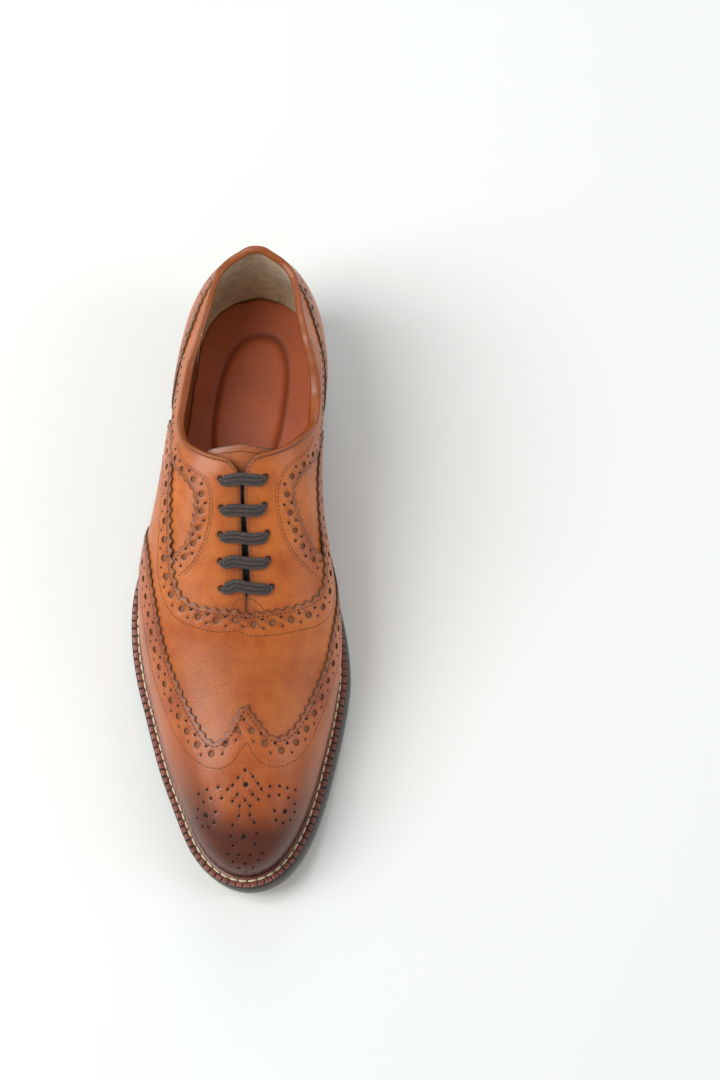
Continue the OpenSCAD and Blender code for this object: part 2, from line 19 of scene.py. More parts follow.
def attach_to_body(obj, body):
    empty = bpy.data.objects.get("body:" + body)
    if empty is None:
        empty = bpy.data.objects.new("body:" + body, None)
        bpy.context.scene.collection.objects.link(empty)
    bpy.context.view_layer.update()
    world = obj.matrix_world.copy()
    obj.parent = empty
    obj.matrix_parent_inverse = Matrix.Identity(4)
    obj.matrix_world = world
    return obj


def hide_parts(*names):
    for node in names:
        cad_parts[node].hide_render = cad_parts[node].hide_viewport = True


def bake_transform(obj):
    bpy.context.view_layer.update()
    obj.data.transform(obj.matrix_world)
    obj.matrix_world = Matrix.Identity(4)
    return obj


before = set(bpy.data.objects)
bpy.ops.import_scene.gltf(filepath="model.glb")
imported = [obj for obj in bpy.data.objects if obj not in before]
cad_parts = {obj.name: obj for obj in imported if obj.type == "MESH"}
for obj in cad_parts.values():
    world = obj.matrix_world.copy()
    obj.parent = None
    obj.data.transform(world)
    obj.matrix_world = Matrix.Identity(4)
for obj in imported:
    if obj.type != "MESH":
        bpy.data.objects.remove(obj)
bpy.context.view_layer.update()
GRID = 1.6          # mesh spacing of the leather panels


# ---------------------------------------------------------------- small helpers
def running(lengths):
    return np.concatenate([[0], np.cumsum(lengths)])


def unit(v, tiny=0.0):
    return v/(np.linalg.norm(v, axis=-1, keepdims=True)+tiny)


def turn(n):
    """n even angles round a circle."""
    return np.arange(n)*2*math.pi/n


def ease(a, b, x):
    """0 up to a, 1 from b, smooth between."""
    t = np.clip((x-a)/(b-a), 0, 1)
    return t*t*(3-2*t)


def smooth(rows, passes):
    """Average the rows with their neighbours, in place, keeping the ends."""
    for _ in range(passes):
        rows[1:-1] = (rows[:-2]+2*rows[1:-1]+rows[2:])/4


def cubic(t, start, start_slope, end, end_slope):
    return ((2*t**3-3*t*t+1)*start+(t**3-2*t*t+t)*start_slope
            + (3*t*t-2*t**3)*end+(t**3-t*t)*end_slope)


def smooth_table(table, x):
    """Read rows of (x, values...) at x along smooth cubics."""
    table = np.asarray(table, float)
    xs, values = table[:, 0], table[:, 1:]
    x = np.clip(np.asarray(x, float), xs[0], xs[-1])
    gap = np.diff(xs)
    rise = np.diff(values, axis=0)/gap[:, None]
    slope = np.zeros_like(values)
    slope[0], slope[-1] = rise[0], rise[-1]
    slope[1:-1] = ((rise[:-1]*gap[1:, None]+rise[1:]*gap[:-1, None])
                   / (gap[1:]+gap[:-1])[:, None])
    i = np.clip(np.searchsorted(xs, x, side="right")-1, 0, len(xs)-2)
    width = gap[i][..., None]
    t = ((x-xs[i])/gap[i])[..., None]
    return cubic(t, values[i], width*slope[i], values[i+1], width*slope[i+1])


def catmull(points, steps=12):
    points = np.asarray(points, float)
    slopes = np.gradient(points, axis=0)
    t = np.linspace(0, 1, steps, endpoint=False)[:, None]
    spans = [cubic(t, points[i], slopes[i], points[i+1], slopes[i+1])
             for i in range(len(points)-1)]
    return np.concatenate(spans+[points[-1:]])


def points(text):
    """Read "x,y x,y ..." as a list of [x, y]."""
    return [[float(v) for v in pair.split(",")] for pair in text.split()]


def tree(pts):
    kd = kdtree.KDTree(len(pts))
    for i, p in enumerate(pts):
        kd.insert((p[0], p[1], 0), i)
    kd.balance()
    return kd


def distance_to(pts):
    """A function that gives the distance from each query point to the nearest of pts."""
    kd = tree(pts)
    return lambda q: np.array([kd.find((x, y, 0))[2] for x, y in np.asarray(q)])


def const(value):
    return lambda q: np.full(len(q), float(value))


# ---------------------------------------------------------------- the last
# The sole outline is followed by an angle nu: 0 at the toe, 180 degrees at the heel.
SOLE_MID_Y, SOLE_HALF_LENGTH = -110.75, 151.75
TOE_SHIFT = -4.5                      # x of the toe end
HEEL_HEIGHT, TOE_SPRING = 25.0, 9.5   # rise of the sole's underside at heel and toe
SOLE, SEAT = 5.0, 8.0                 # outsole thickness; upper's lower edge above the underside
# way along the sole (0 toe, 1 heel), half width lateral, medial
HALF_WIDTHS = [
    [0, 60, 60], [.045, 57.6, 56], [.11, 54.6, 52.4], [.2, 55.7, 50], [.28, 57.4, 49.9],
    [.345, 59.8, 49.6], [.41, 61, 46.6], [.476, 60, 41.8], [.53, 56.3, 37.3], [.585, 51, 33.6],
    [.667, 46, 32.5], [.7825, 44.5, 38], [.865, 49.5, 47.5], [.93, 56, 55.5], [1.0, 62, 61]]
# way along, inset of the upper's lower edge from the outline
FEATHER = [[0, 7.6], [.1, 7.2], [.3, 7.0], [.45, 7.0], [.6, 5.6], [.75, 3.6], [.87, 3.0], [1, 3.0]]
# y, z of the ridge along the top of the last
RIDGE_Z = [[-232, 43], [-222, 46.5], [-205, 50.5], [-180, 55.5], [-155, 63], [-130, 73],
           [-105, 85], [-80, 98], [-60, 107], [-40, 114], [-20, 117], [0, 117], [15, 112],
           [26, 106]]
# way along, x of the ridge
RIDGE_X = [[0, -5.5], [.2, -7.5], [.35, -8.5], [.5, -8.0], [.65, -4.5], [.8, -1], [1, 0]]
# way along, bulge lateral, medial, rise of the bulge, reach of the upper handle lateral, medial
SECTIONS = [
    [0, 5, 5, .6, .78, .78], [.1, 5, 5.6, .58, .77, .80], [.25, 4.4, 6.6, .52, .79, .93],
    [.4, 4.8, 8, .47, .88, 1.12], [.5, 5.4, 9, .40, 1.01, 1.34], [.6, 7.8, 9.8, .34, 1.16, 1.5],
    [.7, 13, 11, .28, 1.05, 1.46], [.8, 19, 13.6, .25, .72, 1.08],
    [.9, 18.5, 12.4, .25, .55, .68], [1, 11, 11, .25, 1.2, 1.2]]
PATTERN_SCALE, PATTERN_RIM = 118.0, 0.62   # focus of the elliptic pattern, and its sole edge


def along(nu):
    return (1-np.cos(nu))/2


def outline(nu, side):
    c = along(nu)
    widths = smooth_table(HALF_WIDTHS, c)
    width = np.where(np.asarray(side) < 0, widths[..., 0], widths[..., 1])
    return TOE_SHIFT*(1-c)+side*np.sin(nu)*width, SOLE_MID_Y-SOLE_HALF_LENGTH*np.cos(nu)


def outline_normal(nu, side):
    step = 1e-4
    x0, y0 = outline(nu-step, side)
    x1, y1 = outline(nu+step, side)
    dx, dy = x1-x0, y1-y0
    length = np.hypot(dx, dy)
    return side*dy/length, -side*dx/length


def under(y):
    """Height of the outsole's underside."""
    y = np.asarray(y, float)
    return HEEL_HEIGHT*ease(-150, -22, y)+TOE_SPRING*np.clip((-178-y)/84.0, 0, None)**1.6


def feather_inset(nu):
    return smooth_table(FEATHER, along(nu))[..., 0]


def bipolar(q):
    """Angle round the outline, and way up the pattern: 0 at the sole edge, 1 at the ridge."""
    w = np.arccosh((-q[..., 1]+1j*np.abs(q[..., 0]))/PATTERN_SCALE+0j)
    nu = np.abs(w.imag)

    def radius(mu):
        return np.hypot(np.sinh(mu)*np.sin(nu), (np.cosh(mu)-1)*np.cos(nu))
    return nu, 1-radius(np.abs(w.real))/radius(PATTERN_RIM)


def last(q):
    """Pattern points on the shoe: a cubic Bezier from the sole edge to the ridge."""
    q = np.asarray(q, float)
    nu, t = bipolar(q)
    side = np.where(q[..., 0] < 0, -1.0, 1.0)
    c = along(nu)
    x, y = outline(nu, side)
    nx, ny = outline_normal(nu, side)
    inset = feather_inset(nu)
    x, y = x-nx*inset, y-ny*inset
    z = under(y)+SEAT
    top_y = -229.0+256.0*c
    top_z = smooth_table(RIDGE_Z, top_y)[..., 0]
    top_x = smooth_table(RIDGE_X, c)[..., 0]
    slope = smooth_table(RIDGE_Z, top_y+.5)[..., 0]-smooth_table(RIDGE_Z, top_y-.5)[..., 0]
    section = smooth_table(SECTIONS, c)
    bulge = np.where(side < 0, section[..., 0], section[..., 1])
    rise = section[..., 2]
    reach = np.where(side < 0, section[..., 3], section[..., 4])
    dy = (y-top_y)*reach
    p0 = np.stack([x, y, z], -1)
    p1 = np.stack([x+nx*bulge, y+ny*bulge, z+rise*(top_z-z)], -1)
    p2 = np.stack([top_x+(x-top_x)*reach, top_y+dy, top_z+slope*dy], -1)
    p3 = np.stack([top_x, top_y, top_z], -1)
    t = t[..., None]
    u = 1-t
    return u**3*p0+3*u*u*t*p1+3*u*t*t*p2+t**3*p3


def surface(q, step=.05):
    """Surface points, their derivatives along pattern x and y, and outward normals."""
    q = np.asarray(q, float)
    step_x, step_y = np.array([step, 0]), np.array([0, step])
    dx = (last(q+step_x)-last(q-step_x))/(2*step)
    dy = (last(q+step_y)-last(q-step_y))/(2*step)
    return last(q), dx, dy, unit(np.cross(dx, dy), 1e-12)


Local = namedtuple("Local", "point normal ahead left step_ahead step_left")


def local(q, heading):
    """Frames at pattern points; the steps are pattern moves worth 1 mm on the surface."""
    p, dx, dy, normal = surface(q)
    ahead = unit(dx*heading[..., :1]+dy*heading[..., 1:], 1e-12)
    left = np.cross(normal, ahead)
    xx, xy, yy = (dx*dx).sum(-1), (dx*dy).sum(-1), (dy*dy).sum(-1)
    det = xx*yy-xy*xy

    def back(v):
        a, b = (dx*v).sum(-1), (dy*v).sum(-1)
        return np.stack([(yy*a-xy*b)/det, (xx*b-xy*a)/det], -1)
    return Local(p, normal, ahead, left, back(ahead), back(left))


def sole_edge(degrees, gap=-.02):
    """Pattern point at the sole edge; a negative gap runs beyond it."""
    mu = PATTERN_RIM*(1-gap)
    a = np.radians(np.asarray(degrees, float))
    return np.stack([PATTERN_SCALE*np.sinh(mu)*np.sin(a),
                     -PATTERN_SCALE*np.cosh(mu)*np.cos(a)], -1)


def edge_arc(a, b, gap=-.02, n=None):
    return sole_edge(np.linspace(a, b, n or max(int(abs(b-a)/1.2), 3)), gap)


# ---------------------------------------------------------------- pattern curves
class Curve:
    """A pattern curve, measured in mm along the surface."""
    def __init__(self, pts, curved=True):
        self.q = catmull(pts) if curved else np.asarray(pts, float)
        self.s = running(np.linalg.norm(np.diff(last(self.q), axis=0), axis=1))
        self.length = self.s[-1]

    def place(self, s):
        return np.stack([np.interp(s, self.s, self.q[:, k]) for k in (0, 1)], -1)

    def at(self, s):
        """Points and headings."""
        s = np.clip(s, 0, self.length)
        return self.place(s), self.place(s+1.2)-self.place(s-1.2)

    def walk(self, a=0, b=None, step=1.3):
        b = self.length if b is None else b
        return self.place(np.linspace(a, b, max(int(abs(b-a)/step), 1)+1))

    def dense(self, step=.5):
        return self.place(np.linspace(0, self.length, int(self.length/step)+2))

    def offset(self, width, smoothing=0):
        """The curve moved width mm to its left, in marches of up to 2 mm."""
        q = self.place(np.linspace(0, self.length, max(int(self.length/2.0), 4)+1))
        marches = max(int(np.ceil(abs(width)/2)), 1)
        for _ in range(marches):
            q = q+local(q, np.gradient(q, axis=0)).step_left*(width/marches)
        smooth(q, smoothing)
        return Curve(q, False)

    def part(self, a, b):
        return Curve(self.place(np.linspace(a, b, max(int(abs(b-a)), 2)+1)), False)

    def near(self, q):
        return self.s[np.argmin(((self.q-np.asarray(q))**2).sum(1))]

    def teeth(self, pitch, depth, side=1, a=0, b=None):
        """A pinked edge; the teeth stand to the left for side 1, right for -1."""
        b = self.length if b is None else b
        n = int(round((b-a)/pitch))
        way = np.array([0, .14, .30, .43, .5, .57, .70, .86])
        height = np.array([0, .22, .62, .93, 1.0, .93, .62, .22])
        s = np.append(a+(np.arange(n)[:, None]+way).ravel()*(b-a)/n, b)
        out = np.append((np.tile(height, n)-.5)*depth, -.5*depth)
        q, heading = self.at(s)
        return q+local(q, heading).step_left*(out*side)[:, None]


def midway(first, second):
    """The curve half way between two."""
    other = second.dense()
    kd = tree(other)
    q = np.array([(p+other[kd.find((p[0], p[1], 0))[1]])/2 for p in first.dense(1.5)])
    smooth(q, 2)
    return Curve(q, False)


def counterclockwise(loop):
    x, y = loop[:, 0], loop[:, 1]
    return loop if (x*np.roll(y, -1)-np.roll(x, -1)*y).sum() > 0 else loop[::-1]


def join(*parts):
    """One closed counterclockwise loop, without doubled points."""
    out = []
    for part in parts:
        for q in np.asarray(part, float):
            if not out or np.hypot(*(out[-1]-q)) > .12:
                out.append(q)
    if np.hypot(*(out[0]-out[-1])) < .12:
        out.pop()
    return counterclockwise(np.array(out))


def across(angle, text, gap=-.02):
    """A curve from the lateral sole edge over the toe half to the medial one."""
    return Curve([sole_edge(-angle, gap), *points(text), sole_edge(angle, gap)])


VAMP = across(115, """
-62,62 -50,60 -41,55 -34.8,47.5 -31,39 -27.8,28.7 -24.6,15.6 -22.9,4.8 -21.9,-3.4
-21.1,-11.8 -19.2,-19.4 -14.2,-25.6 -7.4,-29.9 .7,-34 6.3,-30.8 12.6,-26.5 19.2,-22.1
25.4,-17.4 29.9,-12.2 32.3,-5.4 33.4,4 34.6,13 35.6,22 36.3,31 38.2,41 42.6,50 50,57 58,61""")
VAMP_FAR = across(110, """
-66,47 -56,48 -47,44 -40,37 -35.4,28 -31.6,16.1 -30,4 -29.4,-6.6 -28.4,-16 -25,-24.4
-19.8,-30.4 -13.2,-35.4 -5.4,-40.2 2.5,-42.2 10.1,-38.2 18.9,-32.6 28.6,-27 36.8,-20.4
41.4,-11.6 43.6,-2 45,9 46.4,20 48.2,30 52.4,39 59,44.5 66,47""", gap=0)
WING = across(106, """
-65,27 -57,20 -49.5,14.6 -41.6,7.8 -36.2,-.6 -33.8,-10.6 -32.5,-19.4 -31.8,-28 -30.6,-36.5
-28.9,-45 -26.3,-52.8 -22.6,-61.4 -18.4,-69.8 -15,-76.6 -11.4,-81.2 -7.6,-82.6 -4.4,-81.2
-2,-78.6 .3,-75.2 2.5,-71.4 4.7,-73 7.6,-75.6 10.9,-77.9 14.1,-77 17.7,-74.3 21.8,-69.3
25,-63.6 28,-57 31,-50 33.6,-42.6 36,-34 38.8,-26.3 43.1,-18 48.4,-9.4 53.6,-.4 59,10
66.5,23""")
WING_FAR = across(97, """
-67,14 -58,7 -51,-1 -47,-11 -45,-21 -43.9,-31.3 -43.4,-41 -41.4,-52 -36.6,-63.6 -32,-71.4
-26.3,-79.3 -18.8,-86.1 -11.4,-91.4 -5.2,-94.2 -1.4,-94.2 1.0,-91 2.6,-87.4 4.6,-89.3
7.9,-90.7 12.8,-89.6 19.1,-86 25.6,-80.6 30.6,-74.5 34.6,-66 38.6,-56.4 42.6,-45.6
46.6,-33.6 51,-20 56,-7 62,4 67,13""")
WING_MID = midway(WING, WING_FAR)
FOX_L = Curve([sole_edge(-123.5), *points(
    "-57,70 -50,69 -44.5,72 -39,79 -33,87.5 -26,98.5 -19.6,106.3 -14.69,111.64")])
FOX_M = Curve([*points(
    "15.51,110.77 20,106.9 27,98.5 34,88 40.5,79 45.5,72.5 51,69 57,70"), sole_edge(123.5)])


def half(sign, top, under_edge, front_end, back, toe, inner, eyelets, **rest):
    """Curves of one side; the facing's front follows the topline, then its own last points."""
    top = points(top)
    return SimpleNamespace(
        sign=sign, top=Curve(top), front=Curve(top[11:-3]+points(front_end)),
        under=([sole_edge(sign*a) for a in (179.99, 166, 150, 137, 126, 118)]
               + points(under_edge)),
        back=Curve(points(back)), toe=Curve(points(toe)), inner=Curve(points(inner)),
        eyelets=np.array(points(eyelets)), **rest)


# seam: where the foxing meets the topline; the other points mark where rows and edges end
LATERAL = half(
    -1, name="lateral", seam=[-14.69, 111.64],
    top="""0,125.66 -2.19,125.33 -4.24,124.24 -6.36,121.57 -8.31,119.68 -10.34,117.45
        -12.45,114.85 -14.69,111.64 -16.9,107.2 -19.5,101.2 -24,91.5 -27.1,82.2 -30.4,71.9
        -31.2,56.4 -29.9,48.5 -23.7,39.9 -16.3,34.3 -10,30.3 -5.6,28.0 -2.9,26 -1.3,23.3
        -.2,19.8 .5,14.5 1.05,4 1.45,-8 1.75,-20 2.0,-31 2.2,-40""",
    under_edge="""-66.5,56 -56,48 -46,40 -39.5,30 -36,20 -33.5,9 -32,-2 -30.5,-12 -28,-20
        -23,-26.5 -17,-31.5 -11,-35.5 -5,-39 1,-42""",
    front_end="1.85,-20.5 2.3,-24.5 2.66,-28 2.7,-35",
    back="""-34.2,84 -38,72.5 -38.8,57 -36,46 -31.6,37 -26.5,30.8 -22.3,27 -18.5,23.3
        -15.2,19.2 -13.7,15.3 -13.6,11.2 -14,6.6 -15,2.4 -17,-.9 -20.4,-2.9 -25.5,-4.6""",
    toe="-25.5,-4.6 -25.4,-12 -22.6,-20 -17,-26.4 -10,-31 -4,-34.4 2.1,-35.6",
    inner="""-28.4,41 -24.4,34.6 -20,29.8 -15.5,26 -11.1,22.1 -8.6,17 -7.9,11.1 -8.1,4.2
        -9.7,-2.5 -12.7,-8.2 -16.2,-11 -20,-12.6""",
    eyelets="-5.4,20.2 -4.4,8.8 -4.4,-1.6 -4.4,-12.2 -4.4,-23.2",
    fold_end=[-2.9, 26], fold_depths=[-3.0, -2.7, -2.9, -2.7, -2.2, -1.5],
    lining_start=[-24, 91.8], grip_end=[-24, 91.5], topline_row_end=[-27.1, 82.5],
    back_row_end=[-21.5, -3.3], inner_row_end=[-19.5, -12.4], front_row_end=[2.0, -25])
MEDIAL = half(
    1, name="medial", seam=[15.51, 110.77],
    top="""0,125.66 2.23,125.31 4.32,124.13 6.48,121.41 8.52,119.57 10.67,117.35
        12.96,114.52 15.51,110.77 17.6,106.6 19.4,102.6 23.2,91.8 25,84.4 28.6,77 32.6,70
        34.9,63 33.8,53.3 29.5,47 22,40.6 15.4,35.4 10,31.8 6,29.7 3.4,27.6 1.9,24.6
        1.35,20.5 1.45,12 2.3,2 3.0,-9 3.6,-20 3.4,-31 3.2,-40""",
    under_edge="""67,56 60,48 55.5,39 54,29 52,18 48,7.5 45,-2 42,-11 37,-18 31,-23 24,-28
        17,-32.5 11,-36.5 6,-40.5""",
    front_end="3.5,-20.5 3.1,-24.5 2.76,-28 2.74,-35",
    back="""32.2,87 37.6,78.5 41.6,66 41.6,54 37.4,42.6 31,34.4 24.8,29.1 20.2,24.4 18.2,20
        18.9,15.8 20.7,11.8 22.6,7.4 25.9,4 30,2 38,1.6""",
    toe="38,1.6 37,-5 34,-12.6 28.4,-19.2 21.5,-24.6 14.5,-29 8,-33 3.3,-35.6",
    inner="""30.6,44 27,38.6 22.4,34 18,30.2 14.3,25.9 12.1,21 11.4,15.8 12.1,9.1 13.8,2.4
        17.2,-2.6 22.3,-6 27.7,-8 31.5,-8.8""",
    eyelets="7.2,21.7 7.2,11.4 8,1.2 8.4,-8.7 9.6,-19",
    fold_end=[3.4, 27.6], fold_depths=[-3.0, -3.5, -4.2, -3.4, -2.3, -1.5],
    lining_start=[23.2, 92.1], grip_end=[23.2, 91.8], topline_row_end=[25, 84.7],
    back_row_end=[30.5, 1.9], inner_row_end=[28.5, -8.1], front_row_end=[3.2, -25])
SIDES = (LATERAL, MEDIAL)
HEEL_TOP_L, HEEL_TOP_M = [part.top.walk(0, part.top.near(part.seam)) for part in SIDES]
HEEL_TOP = Curve(np.concatenate([HEEL_TOP_L[::-1], HEEL_TOP_M[1:]]), False)
VAMP_AREA = join(VAMP.walk(), edge_arc(114, -114))
EYELET_RADIUS = 1.35


# ---------------------------------------------------------------- sheet depths
from_vamp_edge = distance_to(VAMP.dense())
from_wing_edge = distance_to(WING.dense())
from_topline = distance_to(np.concatenate([part.top.dense() for part in SIDES]))
LEATHER = 1.0


def thickening(q):
    """0 at the topline, where the sheets are pared thin, to 1 at full thickness."""
    return ease(0, 6.5, from_topline(q))


def quarter_top(q):
    return -.42*(1-thickening(q))


def quarter_bottom(q):
    k = thickening(q)
    return -.42*(1-k)-(.5+.7*k)


def facing_bottom(q):
    return quarter_top(q)+.03


def facing_top(q):
    return facing_bottom(q)+.5+.42*thickening(q)


def fox_bottom(q):
    return quarter_top(q)+.04


def fox_top(q):
    return fox_bottom(q)+.5+.5*thickening(q)


def lining_top(q):
    return quarter_bottom(q)-.04


def lining_bottom(q):
    return lining_top(q)-(.4+.7*thickening(q))


def grip_top(q):
    k = thickening(q)*.75
    w = ease(94, 106, q[:, 1])
    return (-1.0*w-1.46*(1-w))*(1-k)-2.8*k


def grip_bottom(q):
    nu, up = bipolar(q)
    swell = 5.0*(1-ease(0, .42, up))*ease(148, 174, np.degrees(nu))
    return grip_top(q)-(.45+.75*thickening(q))-swell


def vamp_bottom(q):
    """Raised where the vamp laps over the facings."""
    x, y = q[..., 0], q[..., 1]
    lap = np.where(x < 2, 1-ease(-2, 12, y), 1-ease(3, 16, y))
    return .04+.92*lap*(1-ease(5, 14, from_vamp_edge(q)))


def vamp_top(q):
    return vamp_bottom(q)+LEATHER


def wing_bottom(q):
    k = ease(9, 26, from_wing_edge(q))
    return (vamp_top(q)+.02)*(1-k)+.04*k


def wing_top(q):
    return wing_bottom(q)+LEATHER


# ---------------------------------------------------------------- materials
MATERIALS = {}


def rgb(colour):
    """Linear colour from sRGB 0 to 255."""
    return tuple(v/255/12.92 if v/255 <= .04045 else ((v/255+.055)/1.055)**2.4
                 for v in colour)


class Field:
    """A shader value; arithmetic on it adds nodes to its graph."""
    def __init__(self, graph, socket):
        self.graph = graph
        self.socket = socket

    def __add__(self, other):
        return self.graph.math("ADD", self, other)

    def __sub__(self, other):
        return self.graph.math("SUBTRACT", self, other)

    def __mul__(self, other):
        return self.graph.math("MULTIPLY", self, other)

    def remap(self, low, high, start=0.0, end=1.0):
        """low..high becomes start..end, clamped."""
        return self.graph.field("MapRange", (self, low, high, start, end), clamp=True)


class Graph:
    def __init__(self, node_tree):
        self.tree = node_tree

    def node(self, kind, **settings):
        node = self.tree.nodes.new("ShaderNode"+kind)
        for key, value in settings.items():
            setattr(node, key, value)
        return node

    def put(self, socket, value):
        if isinstance(value, Field):
            self.tree.links.new(value.socket, socket)
        else:
            socket.default_value = (*value, 1) if isinstance(value, tuple) else value

    def field(self, kind, values, **settings):
        """A node with its first inputs filled, as its first output."""
        node = self.node(kind, **settings)
        for socket, value in zip(node.inputs, values):
            self.put(socket, value)
        return Field(self, node.outputs[0])

    def math(self, operation, a, b=0.0):
        return self.field("Math", (a, b, 0.0), operation=operation)

    def mix(self, factor, a, b):
        """Colour a to b; tuples are sRGB 0 to 255."""
        node = self.node("Mix", data_type="RGBA", blend_type="MIX")
        for i, value in ((0, factor), (6, a), (7, b)):
            self.put(node.inputs[i], rgb(value) if isinstance(value, tuple) else value)
        return Field(self, node.outputs[2])

    def attr(self, name):
        return Field(self, self.node("Attribute", attribute_name=name).outputs["Fac"])

    @cached_property
    def coordinates(self):
        return self.node("TexCoord").outputs

    def axes(self, kind):
        node = self.node("SeparateXYZ")
        self.tree.links.new(self.coordinates[kind], node.inputs[0])
        return [Field(self, socket) for socket in node.outputs]

    def texture(self, kind, output, inputs, **settings):
        node = self.node(kind, **settings)
        for key, value in inputs.items():
            node.inputs[key].default_value = value
        self.tree.links.new(self.coordinates["Object"], node.inputs["Vector"])
        return Field(self, node.outputs[output])

    def noise(self, scale, detail, rough, distortion=0.0):
        return self.texture("TexNoise", "Fac", {
            "Scale": scale, "Detail": detail, "Roughness": rough, "Distortion": distortion})

    def cells(self, scale):
        return self.texture("TexVoronoi", "Distance", {"Scale": scale},
                            feature="DISTANCE_TO_EDGE")

    def bump(self, height, distance, strength):
        node = self.node("Bump")
        for key, value in (("Strength", strength), ("Distance", distance), ("Height", height)):
            self.put(node.inputs[key], value)
        return Field(self, node.outputs[0])

    def set(self, values):
        for key, value in values.items():
            self.put(self.shader.inputs[key], value)


def new_material(name):
    material = bpy.data.materials.new(name)
    MATERIALS[name] = material
    material.use_nodes = True
    material.node_tree.nodes.clear()
    g = Graph(material.node_tree)
    output = g.node("OutputMaterial")
    g.shader = g.node("BsdfPrincipled")
    g.tree.links.new(g.shader.outputs[0], output.inputs[0])
    return g


def darker(colour, share):
    return tuple(int(v*share) for v in colour)


def leather(name, light=(203, 110, 36), mid=(164, 75, 18), dark=(76, 30, 9),
            raw_edge_in_shade=(98, 74, 52)):
    """Mottled calf, darkened by the burn attribute (burnished toe and heel, painted shade on the
    tongue), with painted shade along edges, near seams and in pits, and cut walls of unfinished
    leather darkened by painted shade.
    """
    g = new_material(name)
    broad = g.noise(scale=38, detail=4, rough=.55, distortion=.6)
    blotch = g.noise(scale=140, detail=5, rough=.6, distortion=.3)
    fine = g.noise(scale=900, detail=3, rough=.6)
    colour = g.mix((broad*.62+blotch*.38).remap(.34, .68), mid, light)
    # burn attribute: burnished darkening on toe, vamp and heel, painted shade on the tongue; on
    # the toe it is eased lighter by the welt as a painted reflection
    burn = g.attr("burn")*1.0
    burnish_and_shade_mix = (burn+(broad-.5)*.35).remap(.04, 1.0)*burn.remap(0, .12)
    colour = g.mix(burnish_and_shade_mix, colour, dark)
    # painted shade: darker within 5 mm of each sheet's edge, by its seams
    colour = g.mix(g.attr("seam_shade_distance").remap(0.0, 5.0, .30, 0.0), colour, dark)
    # painted shade: a dark line along each sheet's cut edges and round its holes
    colour = g.mix(g.attr("edge_shade").remap(.4, 1.0, 0, .85), colour, darker(dark, .55))
    pores = fine.remap(.30, .46, .16, 0.0)
    colour = g.mix(pores, colour, darker(mid, .6))
    # cut walls: unfinished leather coloured dark brown, painted shade on the exposed edges
    wall = g.attr("side").remap(.6, .9)
    fibre = g.noise(scale=1300, detail=2, rough=.5).remap(.38, .62)
    colour = g.mix(wall, colour, g.mix(fibre, (62, 42, 30), raw_edge_in_shade))
    # pit: .3 on pit walls, .6 on light floors and open holes, 1 on dark floors. Walls are darkened
    # by painted shade, light floors are the leather beneath with painted shade, darker where the
    # sheet is burnished, and dark floors are near-black painted shade.
    pit = g.attr("pit")
    colour = g.mix(pit.remap(.1, .25, 0, .85), colour, (92, 50, 28))
    floor = g.mix(burn.remap(.15, .7), (142, 82, 46), (44, 18, 9))
    colour = g.mix(pit.remap(.35, .58, 0, .95), colour, floor)
    colour = g.mix(pit.remap(.65, .95, 0, .95), colour, (34, 18, 12))
    grain = g.cells(scale=620).remap(0, .16)*.6+fine*.55+blotch*1.2
    matt = g.math("MAXIMUM", wall, pit.remap(.2, .7))
    g.set({"Base Color": colour, "Roughness": blotch.remap(.3, .7, .33, .46)+matt*.4,
           "Specular IOR Level": .5, "Coat Weight": .16, "Coat Roughness": .26,
           "Coat IOR": 1.45, "Normal": g.bump(grain, distance=.00007, strength=.8),
           "Coat Normal": g.bump(grain, distance=.00004, strength=.5)})


def plain(name, colour, var=.12, rough=.6, scale=200, fine=1400, bump=.00005, spec=.4,
          metallic=0.0, coat=0.0, sheen=0.0, mark=None):
    """One colour, varied by var at two noise scales; mark is (factor of graph, colour)."""
    g = new_material(name)
    broad = g.noise(scale, detail=4, rough=.6)
    small = g.noise(fine, detail=4, rough=.65)
    low = tuple(v*(1-var) for v in colour)
    high = tuple(min(255, v*(1+var*.6)) for v in colour)
    shade = g.mix((broad*.6+small*.4).remap(.35, .65), low, high)
    if mark:
        shade = g.mix(mark[0](g), shade, mark[1])
    g.set({"Base Color": shade, "Roughness": small.remap(.3, .7, rough-.06, rough+.08),
           "Specular IOR Level": spec, "Metallic": metallic, "Coat Weight": coat,
           "Sheen Weight": sheen, "Normal": g.bump(small+broad*.6, bump, strength=.9)})


def lace_material():
    """Dark cotton, lighter on the raised strands (br) and darker between them, a painted highlight
    and painted shade.
    """
    g = new_material("lace_cotton")
    fine = g.noise(scale=900, detail=3, rough=.6)
    strand = g.attr("br")
    # painted highlight: light flecks on the raised strands
    fluff_highlight = g.noise(scale=1500, detail=2, rough=.5).remap(.56, .64)*strand.remap(.3, .8)
    colour = g.mix(strand.remap(.35, .95), (24, 18, 17), (104, 88, 80))
    colour = g.mix(fine.remap(.35, .65)*.4, colour, (46, 36, 34))
    colour = g.mix(fluff_highlight*.45, colour, (150, 140, 132))
    g.set({"Base Color": colour, "Roughness": .8, "Sheen Weight": .25,
           "Normal": g.bump(fine, distance=.0001, strength=.8)})


# Wheeled grooves across the welt: spacing, the part of each half pitch where they sink in,
# and depth
WHEEL_PITCH, WHEEL_START, WHEEL_FULL, WHEEL_DEPTH = 3.85, .37, .44, .62


